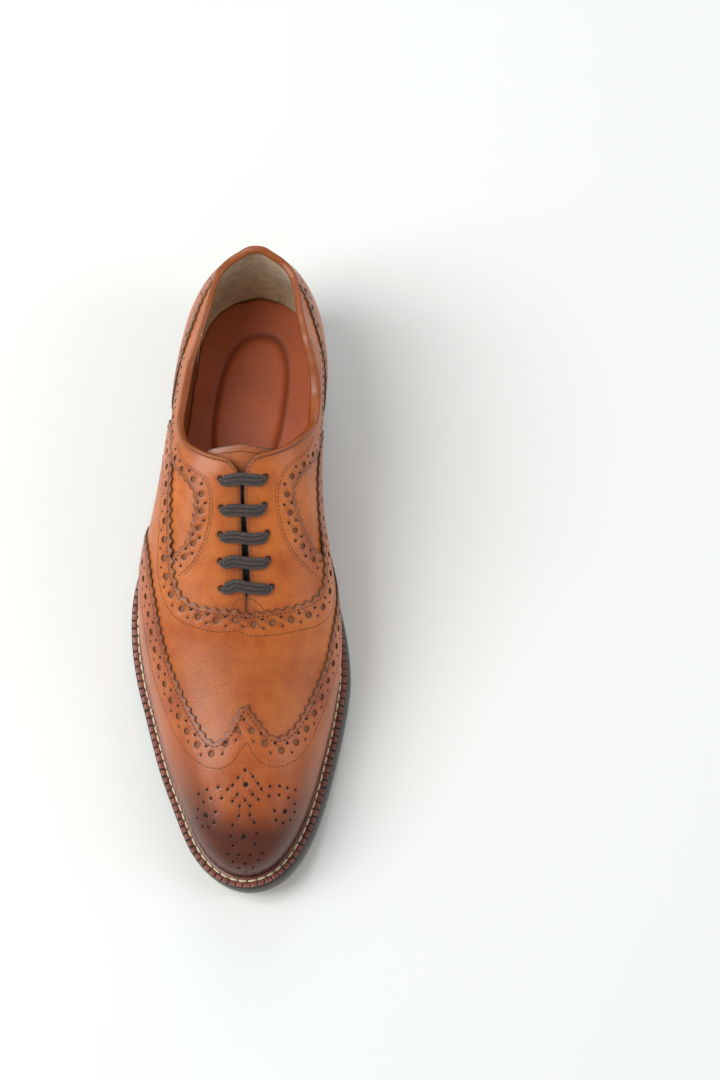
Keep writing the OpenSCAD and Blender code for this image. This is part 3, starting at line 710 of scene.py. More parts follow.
def welt_material():
    """Zones by the inset from the sole edge (e), grooves by the way round it (s)."""
    g = new_material("welt_finish")
    e = g.attr("e")
    blotch = g.noise(scale=260, detail=4, rough=.6)
    fine = g.noise(scale=1200, detail=3, rough=.6)
    phase = g.math("FRACT", g.attr("s")*(1/WHEEL_PITCH))
    groove = g.math("ABSOLUTE", phase-.5).remap(WHEEL_START, WHEEL_FULL)
    wheeled = e.remap(.1, .3)*e.remap(2.6, 2.8, 1, 0)
    colour = g.mix(blotch.remap(.35, .65), (112, 56, 44), (150, 88, 72))
    # painted shade: the wheeled grooves coloured near-black
    colour = g.mix(wheeled*groove, colour, (20, 12, 10))
    colour = g.mix(e.remap(.55, .2), colour, (34, 27, 25))
    colour = g.mix(e.remap(2.7, 2.9)*e.remap(4.3, 4.0), colour, (58, 36, 26))
    colour = g.mix(e.remap(4.6, 5.2, 0, .75), colour, (50, 30, 22))
    g.set({"Base Color": colour, "Roughness": .42, "Coat Weight": .2,
           "Normal": g.bump(fine+blotch, distance=.00008, strength=.8)})


def sole_material():
    """Tan underside, grey on the walls and the top."""
    g = new_material("sole_finish")
    blotch = g.noise(scale=90, detail=4, rough=.6)
    fine = g.noise(scale=900, detail=4, rough=.65)
    wall = g.attr("wall")
    colour = g.mix(blotch.remap(.35, .65), (146, 100, 62), (172, 124, 82))
    colour = g.mix(fine.remap(.35, .6, .25, 0), colour, (110, 70, 42))
    grey = g.mix(fine.remap(.3, .7), (88, 84, 78), (104, 100, 93))
    top = g.math("GREATER_THAN", g.attr("rimtop"), .5)
    colour = g.mix(g.math("MAXIMUM", wall, top), colour, grey)
    g.set({"Base Color": colour, "Roughness": wall.remap(0, 1, .5, .33),
           "Coat Weight": wall*.3,
           "Normal": g.bump(fine+blotch, distance=.00006, strength=.8)})


def stack_material():
    """Brown with thin level lines."""
    g = new_material("stack_finish")
    blotch = g.noise(scale=160, detail=4, rough=.6)
    fine = g.noise(scale=1000, detail=3, rough=.6)
    wave = (g.axes("Object")[2]+blotch*.0006)*1400.0
    line = g.math("ABSOLUTE", g.math("SINE", wave))
    body = g.mix(blotch, (62, 38, 27), (98, 60, 40))
    g.set({"Base Color": g.mix(line.remap(.0, .5, .35, 0), body, (34, 22, 17)),
           "Roughness": .36, "Coat Weight": .25,
           "Normal": g.bump(line*.4+fine, distance=.00005, strength=.8)})


def make_materials():
    leather("wingtip_leather", light=(188, 98, 34), mid=(154, 68, 17), dark=(80, 27, 5))
    for part in ("vamp", "quarter", "facing", "foxing"):
        leather(part+"_leather")
    # the tongue's dark colour is painted shade in the gap between the facings
    leather("tongue_leather", light=(182, 100, 46), mid=(150, 76, 32), dark=(22, 12, 9),
            raw_edge_in_shade=(190, 160, 118))
    plain("lining_leather", (222, 203, 172), var=.10, rough=.55, scale=160, bump=.00006)
    plain("quarter_lining_leather", (156, 88, 48), rough=.5, scale=120, bump=.00006)
    plain("heel_grip_suede", (198, 176, 142), var=.16, rough=.9, scale=260, fine=2200,
          bump=.00016, spec=.1, sheen=.3)
    # the ring mark on the sock is painted shade round the raised heel oval and over the heel end
    plain("sock_leather", (202, 104, 60), var=.1, rough=.45, scale=30, spec=.45, coat=.08,
          mark=(lambda g: g.attr("ring")*.62, (104, 40, 18)))
    plain("top_piece_rubber", (40, 38, 37), var=.2, rough=.62, scale=300, bump=.0001)
    plain("insole_leather", (188, 152, 108), var=.14)
    plain("cork", (150, 112, 70), var=.4, rough=.85, scale=500, bump=.00025, spec=.2)
    plain("canvas", (206, 196, 172), rough=.9, scale=900, bump=.0001)
    plain("foam", (74, 70, 66), var=.2, rough=.95, scale=1200, bump=.0002, spec=.1)
    plain("steel", (168, 170, 172), var=.08, rough=.32, scale=80, bump=.00002, spec=.5,
          metallic=1.0)
    plain("nail_metal", (186, 160, 104), var=.1, rough=.3, scale=90, bump=.00001, spec=.5,
          metallic=1.0)
    plain("welt_thread", (222, 206, 172), var=.14, rough=.75, scale=1500, bump=.0001)
    # dark dots of painted shade where the needle holes are
    needle_hole_shade = (lambda g: g.attr("hole"), (58, 26, 12))
    plain("upper_thread", (146, 80, 36), var=.25, rough=.5, scale=700, bump=.00003,
          mark=needle_hole_shade)
    plain("topline_thread", (118, 62, 30), var=.25, rough=.55, scale=700, bump=.00003,
          mark=needle_hole_shade)
    plain("stiffener", (196, 178, 150), rough=.8)
    plain("aglet_plastic", (46, 40, 36), var=.15, rough=.25, scale=300, bump=.00001, spec=.5)
    lace_material()
    welt_material()
    sole_material()
    stack_material()


def make(name, verts, faces, finish, slot=None, point_values=None, face_values=None,
         sharp=()):
    """A smooth mesh object from mm; the slot argument is not used."""
    mesh = bpy.data.meshes.new(name)
    mesh.from_pydata([tuple(v) for v in np.asarray(verts)/1000.0], [], faces)
    mesh.validate()
    ob = bpy.data.objects.new(name, mesh)
    bpy.context.scene.collection.objects.link(ob)
    mesh.polygons.foreach_set("use_smooth", [True]*len(mesh.polygons))
    for domain, values in (("POINT", point_values), ("FACE", face_values)):
        for key, value in (values or {}).items():
            attribute = mesh.attributes.new(key, "FLOAT", domain)
            attribute.data.foreach_set("value", np.asarray(value, np.float32))
    if sharp:
        edge_index = {tuple(sorted(e.vertices)): e.index for e in mesh.edges}
        for a, b in sharp:
            i = edge_index.get((min(a, b), max(a, b)))
            if i is not None:
                mesh.edges[i].use_edge_sharp = True
    mesh.materials.append(MATERIALS[finish])
    mesh.update()
    slot = finish if slot is None else slot
    return ob


def attach(ob, node=None, body=None):
    """Move with one body, or else bake its placement into its mesh; node is the CAD piece
    replaced.
    """
    if body is None:
        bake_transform(ob)
    else:
        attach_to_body(ob, body)
    if node:
        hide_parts(node)


def inside(pts, loop):
    """Which points lie in the loop, worked in blocks to save memory."""
    pts = np.asarray(pts, float)
    a, b = loop, np.roll(loop, -1, axis=0)
    result = np.zeros(len(pts), bool)
    for i in range(0, len(pts), 1500):
        x, y = pts[i:i+1500, :1], pts[i:i+1500, 1:]
        spans = (a[:, 1][None] > y) != (b[:, 1][None] > y)
        with np.errstate(divide="ignore", invalid="ignore"):
            hit = (a[:, 0][None]+(y-a[:, 1][None])*(b[:, 0]-a[:, 0])[None]
                   / (b[:, 1]-a[:, 1])[None])
        result[i:i+1500] = (spans & (x < hit)).sum(1) % 2 == 1
    return result


def triangulate(loops, extra):
    """Points, triangles and each loop's vertex indices, for closed loops and loose points."""
    verts, edges, indices = [], [], []
    for loop in loops:
        first, n = len(verts), len(loop)
        verts += [tuple(p) for p in loop]
        indices.append(range(first, first+n))
        edges += [(first+i, first+(i+1) % n) for i in range(n)]
    verts += [tuple(p) for p in extra]
    out = delaunay_2d_cdt([Vector(v) for v in verts], edges, [], 0, 1e-5, True)
    new_index = {old: i for i, olds in enumerate(out[3]) for old in olds}
    return (np.array([tuple(v) for v in out[0]]), np.array([tuple(f) for f in out[2]]),
            [[new_index[k] for k in index] for index in indices])


def facing_up(q, tri):
    """Turn all triangles counterclockwise."""
    a, b, c = q[tri[:, 0]], q[tri[:, 1]], q[tri[:, 2]]
    area = (b[:, 0]-a[:, 0])*(c[:, 1]-a[:, 1])-(b[:, 1]-a[:, 1])*(c[:, 0]-a[:, 0])
    tri[area < 0] = tri[area < 0][:, ::-1]
    return tri


def staggered_grid(low, high, gap):
    return np.array([(x+(gap/2 if j % 2 else 0), y)
                     for j, y in enumerate(np.arange(low[1], high[1], gap*.866))
                     for x in np.arange(low[0], high[0], gap)])


def inward(loop):
    t = unit(np.roll(loop, -1, axis=0)-np.roll(loop, 1, axis=0), 1e-9)
    return np.stack([-t[:, 1], t[:, 0]], -1)


def thinned(pts, gap=.22):
    """Drop loose points that are too close to an earlier one."""
    kd = tree(pts)
    keep = np.ones(len(pts), bool)
    for i, p in enumerate(pts):
        if keep[i]:
            for _, j, _ in kd.find_range((p[0], p[1], 0), gap):
                if j > i:
                    keep[j] = False
    return pts[keep]


def evened(verts, tri, weight, passes=60):
    """Pull vertices towards their neighbours' mean, by weight."""
    edges = np.concatenate([tri[:, [0, 1]], tri[:, [1, 2]], tri[:, [2, 0]]])
    edges = np.concatenate([edges, edges[:, ::-1]])
    n = len(verts)
    degree = np.bincount(edges[:, 0], minlength=n).clip(1)[:, None]
    for _ in range(passes):
        sums = [np.bincount(edges[:, 0], weights=verts[edges[:, 1], k], minlength=n)
                for k in range(3)]
        verts = verts+(np.stack(sums, -1)/degree-verts)*(.6*weight)[:, None]
    return verts


PIT_DEPTH, LIP = .8, .16              # depth of a punched pit, drop of a sheet's outer rim


def punched_rings(pits, holes):
    """Rings as (points, open, dark floor), and a looser ring of points round each; a dark floor is
    painted shade in a small punched pit.
    """
    rings, support = [], []
    for group, is_open in ((pits, False), (holes, True)):
        if len(group) == 0:
            continue
        centres = np.array([c for c, _ in group], float)
        frames = local(centres, np.tile([[0., 1.]], (len(centres), 1)))
        for (_, r), c, ahead, left in zip(group, centres, frames.step_ahead,
                                          frames.step_left):
            n = 16 if r > 1 else 9
            a = turn(n)
            ring = c+np.cos(a)[:, None]*r*ahead+np.sin(a)[:, None]*r*left
            rings.append((ring, is_open, .5 <= r < .9 or 1.1 < r < 1.15))
            a, r = a+math.pi/n, r+.34
            support.append(c+np.cos(a)[:, None]*r*ahead+np.sin(a)[:, None]*r*left)
    return rings, np.concatenate([np.zeros((0, 2))]+support)


def panel(name, loop, top, bottom, finish, slot=None, pits=(), holes=(), grid=GRID,
          burn=None, even_weight=None):
    """A leather sheet cut to loop, with (centre, radius) blind pits and open holes."""
    rings, support = punched_rings(pits, holes)
    from_rim = distance_to(loop)
    from_rings = const(99.)
    if rings:
        from_rings = distance_to(np.concatenate([r[0] for r in rings]))
    field = staggered_grid(loop.min(0)-grid, loop.max(0)+grid, grid)
    field = field[from_rim(field) > .75]
    field = field[inside(field, loop)]
    field = field[from_rings(field) > .6]
    for centre, radius in list(pits)+list(holes):
        field = field[np.hypot(*(field-np.asarray(centre)).T) > radius*1.25+.3]
    # points just inside the outline keep the dropped lip narrow
    near = loop+inward(loop)*.42
    near = near[inside(near, loop)]
    near = near[from_rim(near) > .3]
    near = near[from_rings(near) > .35]
    support = support[inside(support, loop)]
    support = support[from_rim(support) > .3]
    loose = thinned(np.concatenate([near, support, field]))
    q, tri, index = triangulate([loop]+[r[0] for r in rings], loose)
    tri = facing_up(q, tri[inside(q[tri].mean(1), loop)])
    n = len(q)
    rim = index[0]
    ring_of = -np.ones(n, int)
    for k, ring_index in enumerate(index[1:]):
        ring_of[ring_index] = k

    p, _, _, normal = surface(q)
    top_depth = top(q)
    lip = np.zeros(n)
    lip[rim] = LIP
    lip[ring_of >= 0] = LIP*.8
    inner = p+normal*bottom(q)[:, None]
    if even_weight is not None:
        weight = even_weight(q)
        weight[rim] = 0
        inner = evened(inner, tri, weight)
    pit_verts = np.array([i for i in np.where(ring_of >= 0)[0] if not rings[ring_of[i]][1]],
                         int)
    floor = {i: 2*n+k for k, i in enumerate(pit_verts)}
    floor_verts = p[pit_verts]+normal[pit_verts]*(top_depth[pit_verts]-PIT_DEPTH)[:, None]
    verts = np.concatenate([p+normal*(top_depth-lip)[:, None], inner, floor_verts])

    faces, sharp = [], []             # faces as (vertices, side value, pit value)
    for t in tri:
        t = tuple(int(i) for i in t)
        k = ring_of[t[0]]
        in_ring = k >= 0 and k == ring_of[t[1]] == ring_of[t[2]]
        is_open = in_ring and rings[k][1]
        if not in_ring:
            faces.append((t, 0, 0))
        elif not is_open:
            # pit floors; 1 marks the small ones painted as near-black shade
            faces.append((tuple(floor[i] for i in t), 0, 1 if rings[k][2] else .6))
        if not is_open:
            faces.append(((t[2]+n, t[1]+n, t[0]+n), .5, 0))
    for a, b in zip(rim, rim[1:]+rim[:1]):
        faces.append(((a, a+n, b+n, b), 1, 0))
        sharp += [(a, b), (a+n, b+n)]
    for ring_index, (_, is_open, _) in zip(index[1:], rings):
        for a, b in zip(ring_index, ring_index[1:]+ring_index[:1]):
            if is_open:
                faces.append(((a, b, b+n, a+n), 1, .6))
            else:
                faces.append(((a, b, floor[b], floor[a]), 0, .3))
                sharp.append((floor[a], floor[b]))
            sharp.append((a, b))

    rim_distance = from_rim(q)
    # painted shade, strongest at the cut edge and round the holes
    edge_shade = np.exp(-np.minimum(rim_distance, from_rings(q)+.15)/.9)
    vertex_darkening = np.zeros(n) if burn is None else burn(q)
    n_floor = len(pit_verts)
    return make(name, verts, [f[0] for f in faces], finish, slot, {
        "edge_shade": np.concatenate([edge_shade, edge_shade, np.ones(n_floor)]),
        "burn": np.concatenate([vertex_darkening, vertex_darkening, vertex_darkening[pit_verts]]),
        "seam_shade_distance": np.concatenate([rim_distance, rim_distance, np.full(n_floor, 9.)])},
        {"side": [f[1] for f in faces], "pit": [f[2] for f in faces]}, sharp)


def tube_faces(rings, around, first=0, flip=False):
    """Quads between rings of vertices, and a cap on each end."""
    faces = []
    for i in range(rings-1):
        for j in range(around):
            a = first+i*around+j
            b = first+i*around+(j+1) % around
            faces.append((a, a+around, b+around, b) if flip
                         else (a, b, b+around, a+around))
    end = first+(rings-1)*around
    caps = [tuple(range(first, first+around))[::-1], tuple(range(end, end+around))]
    return faces+([cap[::-1] for cap in caps] if flip else caps)


def sweep(path, side, up, width, height, around, power, swell=0.0):
    """A tube of superellipse section along path."""
    a = turn(around)
    ca, sa = np.cos(a), np.sin(a)
    cx = np.sign(ca)*np.abs(ca)**(2/power)
    cy = np.sign(sa)*np.abs(sa)**(2/power)
    verts = (path[:, None]+side[:, None]*(cx[None]*(width[:, None]/2+swell))[..., None]
             + up[:, None]*(cy[None]*(height[:, None]/2+swell))[..., None])
    return verts.reshape(-1, 3), tube_faces(len(path), around)


class Merged:
    """Several meshes gathered into one object."""
    def __init__(self):
        self.verts, self.faces, self.count, self.values = [], [], 0, {}

    def add(self, verts, faces, **values):
        self.verts.append(verts)
        self.faces += [tuple(i+self.count for i in f) for f in faces]
        self.count += len(verts)
        for key, value in values.items():
            self.values.setdefault(key, []).append(np.broadcast_to(value, len(verts)))

    def make(self, name, finish, slot=None):
        values = {key: np.concatenate(v) for key, v in self.values.items()}
        return make(name, np.concatenate(self.verts), self.faces, finish, slot, values)


STITCH_RINGS = 6


def stitch_positions(start, length, n, stitch):
    """Ways along n even stitches, STITCH_RINGS to each."""
    middles = start+(np.arange(n)+.5)*length/n
    return (middles[:, None]+np.linspace(-1, 1, STITCH_RINGS)[None]*stitch/2).ravel()


def stitch_tubes(centres, side, up, radius, wide, around, flip=False):
    a = turn(around)
    verts = (centres[:, None]+side[:, None]*(np.cos(a)[None]*radius[:, None]*wide)[..., None]
             + up[:, None]*(np.sin(a)[None]*radius[:, None])[..., None])
    size = STITCH_RINGS*around
    faces = [f for i in range(len(centres)//STITCH_RINGS)
             for f in tube_faces(STITCH_RINGS, around, i*size, flip)]
    return verts.reshape(-1, 3), faces


def needle_hole_shade_dots(frames, depth, radius, around=7):
    """A small dark button at each point, painted shade standing for a needle hole."""
    a = turn(around)
    verts, faces = [], []
    for p, normal, ahead, left in zip(frames.point+frames.normal*depth[:, None],
                                      frames.normal, frames.ahead, frames.left):
        top = len(verts)
        verts.append(p+normal*.05)
        for share, height in ((.75, .03), (1.0, -.22)):
            verts += [p+(ahead*math.cos(x)*1.12+left*math.sin(x))*radius*share+normal*height
                      for x in a]
        verts.append(p-normal*.3)
        inner, outer, bottom = top+1, top+1+around, top+1+2*around
        for j in range(around):
            k = (j+1) % around
            faces += [(top, inner+j, inner+k), (inner+j, outer+j, outer+k, inner+k),
                      (outer+j, bottom, outer+k)]
    return np.array(verts), faces


def stitch_row(rows, curve, offset, top, pitch=2.0, length=1.1, radius=.18, start=0,
               end=None, hole=None):
    """Stitches offset mm to the left of a curve, with a dark dot of painted shade for a needle
    hole between each pair.
    """
    if abs(offset) > .01:
        curve = curve.offset(offset)
    end = curve.length if end is None else end
    n = int((end-start)/pitch)
    q, heading = curve.at(stitch_positions(start, end-start, n, length))
    frames = local(q, heading)
    lift = top(q)+np.tile([-.30, .02, .10, .10, .02, -.30], n)-.06
    radii = np.tile(np.array([.45, .9, 1, 1, .9, .45])*radius, n)
    rows.add(*stitch_tubes(frames.point+frames.normal*lift[:, None], frames.left,
                           frames.normal, radii, wide=1.25, around=6), hole=0.0)
    q, heading = curve.at(start+np.arange(n+1)*(end-start)/n)
    rows.add(*needle_hole_shade_dots(local(q, heading), top(q)-.02, hole or radius*1.25+.06), hole=1.0)


def brogue(curve, pitch, large, small, cross, start, end=None, far=None):
    """(centre, radius) holes: a large one, then a pair cross mm to each side, repeated."""
    end = curve.length-3 if end is None else end
    n = int(round((end-start)/pitch))
    holes = [(p, large) for p in curve.at(start+(np.arange(n)+.5)*(end-start)/n)[0]]
    q, heading = curve.at(start+np.arange(n+1)*(end-start)/n)
    for p, left in zip(q, local(q, heading).step_left):
        holes += [(p+left*cross, small), (p-left*cross, far or small)]
    return holes


def clear(holes, loop, gap=.9):
    """Holes well inside the loop that touch no other, large ones first."""
    centres = np.array([c for c, _ in holes])
    keep = []
    for (c, r), room, within in sorted(
            zip(holes, distance_to(loop)(centres), inside(centres, loop)),
            key=lambda v: -v[0][1]):
        if within and room > r+gap and all(
                np.hypot(c[0]-o[0], c[1]-o[1]) > r+other+.3 for o, other in keep):
            keep.append((c, r))
    return keep


def folded_edge(curve, start, end, high, low, side, half_thick, over, path_passes,
                frame_passes):
    """A rounded roll along a topline between depths low and high, on its left for side 1."""
    s = np.linspace(start, end, max(int(abs(end-start)/.8), 8))
    frames = local(*curve.at(s))
    p, normal, out = frames.point, frames.normal, frames.left*side
    smooth(p, path_passes)
    smooth(normal, frame_passes)
    smooth(out, frame_passes)
    normal = unit(normal)
    out = unit(out-normal*(out*normal).sum(1, keepdims=True))
    way = np.linspace(0, 1, len(s))
    high, low = np.interp(way, *high), np.interp(way, *low)
    steps = np.arange(len(s))
    taper = np.sin(np.clip(np.minimum(steps, steps[::-1])/1.6, .3, 1)*math.pi/2)
    path = p+normal*((high+low)/2)[:, None]+out*(over-half_thick)
    verts, faces = sweep(path, normal, out, (high-low)*taper,
                         np.full(len(s), 2*half_thick)*taper, around=16, power=2.5)
    return verts, (faces if side > 0 else [f[::-1] for f in faces])


def weld(ob, verts, faces, finish):
    n = len(verts)
    other = make("edge_tmp", verts, faces, finish, "", {
        "edge_shade": np.zeros(n), "burn": np.full(n, .36), "seam_shade_distance": np.full(n, 1.2)})
    bpy.ops.object.select_all(action="DESELECT")
    ob.select_set(True)
    other.select_set(True)
    bpy.context.view_layer.objects.active = ob
    bpy.ops.object.join()


# ---------------------------------------------------------------- the upper
# Punched holes between the wings: middle-sized, then small
TOE_PUNCHES = points("2.0,-105.0 -18.9,-106.2 20.8,-103.9 0.5,-123.3")
TOE_PINPRICKS = points("""
1.8,-99.4 -1.1,-103.3 4.9,-98.8 -3.7,-103.4 7.0,-99.8 -6.0,-102.9 8.5,-100.8 -10.4,-99.1
12.2,-97.4 -16.4,-97.0 16.7,-95.2 -21.7,-97.0 20.8,-94.5 25.6,-94.1 -1.9,-109.1 5.0,-105.6
-14.7,-101.0 -9.3,-103.8 -4.4,-108.8 1.7,-111.5 7.5,-105.4 12.0,-101.2 16.8,-98.6
21.9,-98.1 -19.3,-100.8 -1.3,-114.3 4.0,-110.8 26.4,-99.7 -23.9,-102.5 -13.1,-106.9
15.1,-105.3 26.8,-103.1 -2.4,-116.5 4.2,-114.0 -25.1,-106.1 -14.7,-110.3 16.2,-108.5
24.6,-106.8 20.3,-108.7 -22.1,-110.0 -18.2,-111.2 -5.8,-116.2 6.5,-114.6 7.9,-117.6
-7.5,-119.2 -6.8,-123.1 7.4,-122.0 -9.7,-124.9 -3.5,-127.4 4.2,-127.3 11.0,-124.0
-7.2,-128.9 0.5,-130.7 8.7,-127.6 -3.7,-132.3 5.5,-131.8 0.7,-134.7""")


def toe_burnish_and_reflection(q):
    """Dark over the burnished toe and fading back along the wings; eased lighter along the welt, a
    painted reflection.
    """
    p = last(q)
    off_middle = np.abs(p[:, 0]+1)
    ahead = (-226.5+10*ease(10, 26, off_middle))-p[:, 1]
    w = ease(14, 32, off_middle)
    dark = ease(0, 1, (ahead+3+24*w)/(19+32*w))
    return ((.97*dark+.16*ease(-40, 0, ahead)*(1-dark))
            # painted reflection: a fifth lighter next to the welt
            * (.8+.2*ease(.02, .10, bipolar(q)[1])))


def build_wingtip():
    loop = join(WING.place([0.]), WING.teeth(4.6, 1.25, 1, 2.0, WING.length-2.0),
                WING.place([WING.length]), edge_arc(106, -106))
    pits = brogue(WING_MID, pitch=8.6, large=1.45, small=.58, cross=2.5, start=6, far=.48)
    pits += [(p, 1.12) for p in TOE_PUNCHES]+[(p, .62) for p in TOE_PINPRICKS]
    attach(panel("wingtip", loop, wing_top, wing_bottom, "wingtip_leather",
                 pits=clear(pits, loop), burn=toe_burnish_and_reflection), "wingtip")


def build_vamp():
    loop = join(VAMP.place([0.]), VAMP.teeth(4.9, 1.6, 1, 2.0, VAMP.length-2.0),
                VAMP.place([VAMP.length]), edge_arc(114, 104, n=6), WING_MID.walk()[::-1],
                edge_arc(-104, -114, n=6))
    pits = brogue(midway(VAMP, VAMP_FAR), pitch=8.8, large=1.5, small=.57, cross=2.2,
                  start=5, far=.49)
    attach(panel("vamp", loop, vamp_top, vamp_bottom, "vamp_leather",
                 pits=clear(pits, loop), burn=lambda q: .25*(1-ease(-60, -20, q[:, 1]))),
           "vamp")


def eyelet_holes(part):
    return [(e, EYELET_RADIUS) for e in part.eyelets]


def build_quarters():
    for part in SIDES:
        name = "quarter_"+part.name
        loop = join(part.top.walk(), Curve(part.under).walk()[::-1])
        ob = panel(name, loop, quarter_top, quarter_bottom, "quarter_leather",
                   holes=eyelet_holes(part),
                   burn=lambda q: .28*(1-ease(8, 34, np.abs(q[:, 1]-135))))
        attach(ob, name, "rearfoot")
        fold = folded_edge(
            part.top, part.top.near(part.seam)-1.6, part.top.near(part.fold_end),
            high=([0, .3, .42, .9, 1], [.15, .15, .95, .95, .6]),
            low=([0, .25, .5, .8, .93, 1], part.fold_depths), side=-part.sign,
            half_thick=.95, over=.4, path_passes=2, frame_passes=16)
        weld(ob, *fold, "quarter_leather")


def build_facings():
    for part in SIDES:
        name, sign = "facing_"+part.name, part.sign
        loop = join(part.front.walk(), part.toe.walk()[::-1],
                    part.back.teeth(4.4, 1.05, sign, 1.0)[::-1])
        middle = midway(part.inner, part.back)
        pits = brogue(middle, pitch=8.5, large=1.25, small=.54, cross=1.9, start=3)
        # the single strip carries on up the back edge
        upper = part.back.offset(-sign*3.4, smoothing=3)
        pits += brogue(upper, pitch=8.5, large=1.0, small=.5, cross=1.3, start=3,
                       end=upper.near(middle.q[0])-4)
        pits = [(c, r) for c, r in clear(pits, loop, .7)
                if from_vamp_edge([c])[0] > 2.5 or not inside([c], VAMP_AREA)[0]]
        attach(panel(name, loop, facing_top, facing_bottom, "facing_leather", pits=pits,
                     holes=eyelet_holes(part)), name, "rearfoot")


def build_foxing():
    loop = join(FOX_L.teeth(4.4, 1.5, -1, 2), HEEL_TOP_L[::-1], HEEL_TOP_M,
                FOX_M.teeth(4.4, 1.5, -1, 0, FOX_M.length-2), FOX_M.place([FOX_M.length]),
                edge_arc(124, 179.9), edge_arc(-179.9, -124))
    pits = [h for curve in (FOX_L, FOX_M)
            for h in brogue(curve.offset(4.2, smoothing=3), pitch=8.6, large=1.2, small=.52,
                            cross=1.9, start=4)]
    ob = panel("counter_foxing", loop, fox_top, fox_bottom, "foxing_leather",
               pits=clear(pits, loop, .7), burn=lambda q: .55*ease(96, 139, q[:, 1]))
    fold = folded_edge(HEEL_TOP, 0, HEEL_TOP.length, high=([0, 1], [1.15, 1.15]),
                       low=([0, .1, .9, 1], [-2.9, -2.6, -2.6, -2.9]), side=-1,
                       half_thick=1.15, over=.5, path_passes=8, frame_passes=24)
    weld(ob, *fold, "foxing_leather")
    attach(ob, "counter_foxing", "rearfoot")


def build_linings():
    for part in SIDES:
        name, sign = "quarter_lining_"+part.name, part.sign
        lower = Curve([sole_edge(sign*131)]+part.under[4:]).offset(-sign*1.6)
        loop = join(part.top.walk(part.top.near(part.lining_start)), lower.walk()[::-1])
        attach(panel(name, loop, lining_top, lining_bottom, "quarter_lining_leather",
                     "lining_leather", holes=eyelet_holes(part), grid=3.0), name, "rearfoot")
    top_l, top_m = [part.top.part(0, part.top.near(part.grip_end)).offset(part.sign*1.0)
                    for part in SIDES]
    loop = join([[-25.4, 86.5]], top_l.walk()[::-1], top_m.walk(), [[24.6, 86.5]],
                edge_arc(133, 179.9, .03), edge_arc(-179.9, -133, .03))
    # the inner face is evened out where the sheet bends tightly round the heel
    attach(panel("heel_lining", loop, grip_top, grip_bottom, "heel_grip_suede", grid=2.0,
                 even_weight=lambda q: ((1-ease(9, 22, np.abs(q[:, 0])))
                                        * ease(.03, .12, bipolar(q)[1]))),
           "heel_lining", "rearfoot")
    lower_l, lower_m = [Curve(part.under[6:]).offset(part.sign*.4) for part in SIDES]
    loop = join(sole_edge(-112, .03)[None], lower_l.walk(), lower_m.walk()[::-1],
                sole_edge(112, .03)[None], edge_arc(110, -110, .03))
    attach(panel("vamp_lining", loop, const(-1.4), const(-2.5), "lining_leather", grid=3.4),
           "vamp_lining")


def build_stiffeners():
    u = np.linspace(-1, 1, 17)
    loop = join(np.stack([u*46, -104+14*u*u], -1), edge_arc(50, -50, .02))
    attach(panel("toe_puff", loop, const(-.3), const(-1.25), "stiffener", "canvas",
                 grid=3.4), "toe_puff")
    u = np.linspace(-1, 1, 13)
    top = np.stack([12*u, 116-8*u*u], -1)
    loop = join(sole_edge(180-46*u, .03)*.45+top*.55, edge_arc(135, 179.9, .03),
                edge_arc(-179.9, -135, .03))
    attach(panel("counter_stiffener", loop, const(-1.3), const(-2.55), "stiffener",
                 "canvas", grid=3.4), "counter_stiffener", "rearfoot")


TONGUE_X, TONGUE_DEPTH = 1.2, -5.0    # pattern x of its middle line, depth of its outer face


def tongue_slit_shade(q):
    """Painted shade: a dark line where the tongue shows in the gap between the facings."""
    return 1.0*(1-ease(1.6, 3.4, np.abs(q[:, 0]-2.6)))*(1-ease(17, 23, q[:, 1]))


def build_tongue():
    v = np.linspace(0, 1, 40)
    half_width = 14+5.5*np.sin(np.radians(v*120))
    y = -37+v*72-v**3*4
    u = np.linspace(1, -1, 16)
    # name, outer and inner depth, finish, narrower by, lower by, painted shade in the gap between
    # the facings
    for name, outer, inner, finish, narrower, lower, burn in (
            ("tongue", TONGUE_DEPTH, -6.15, "tongue_leather", 0, 0, tongue_slit_shade),
            ("tongue_lining", -6.25, -7.55, "lining_leather", .25, .3, None)):
        w = half_width-narrower
        top = np.stack([TONGUE_X+w[-1]*u, y[-1]+.6+3.4*u**2-4.6*np.abs(u)**7-lower], -1)
        loop = join(np.stack([TONGUE_X+w, y], -1), top,
                    np.stack([TONGUE_X-w, y], -1)[::-1])
        attach(panel(name, loop, const(outer), const(inner), finish, grid=2.4, burn=burn),
               name, "tongue_body")


# ---------------------------------------------------------------- stitching
def build_upper_stitching():
    # object, pinked edge, row offset from it, needle hole, far row, its needle hole, sheet top
    for name, edge, offset, hole, far, far_hole, top in (
            ("stitching_wingtip", WING, -2.3, .56, WING_FAR, .44, wing_top),
            ("stitching_vamp", VAMP, -2.2, .5, VAMP_FAR, .46, vamp_top)):
        rows = Merged()
        stitch_row(rows, edge, offset, top, pitch=2.1, length=1.05, radius=.23, start=1,
                   hole=hole)
        stitch_row(rows, far, 0, top, pitch=2.1, radius=.2, start=1, hole=far_hole)
        attach(rows.make(name, "upper_thread", ""))


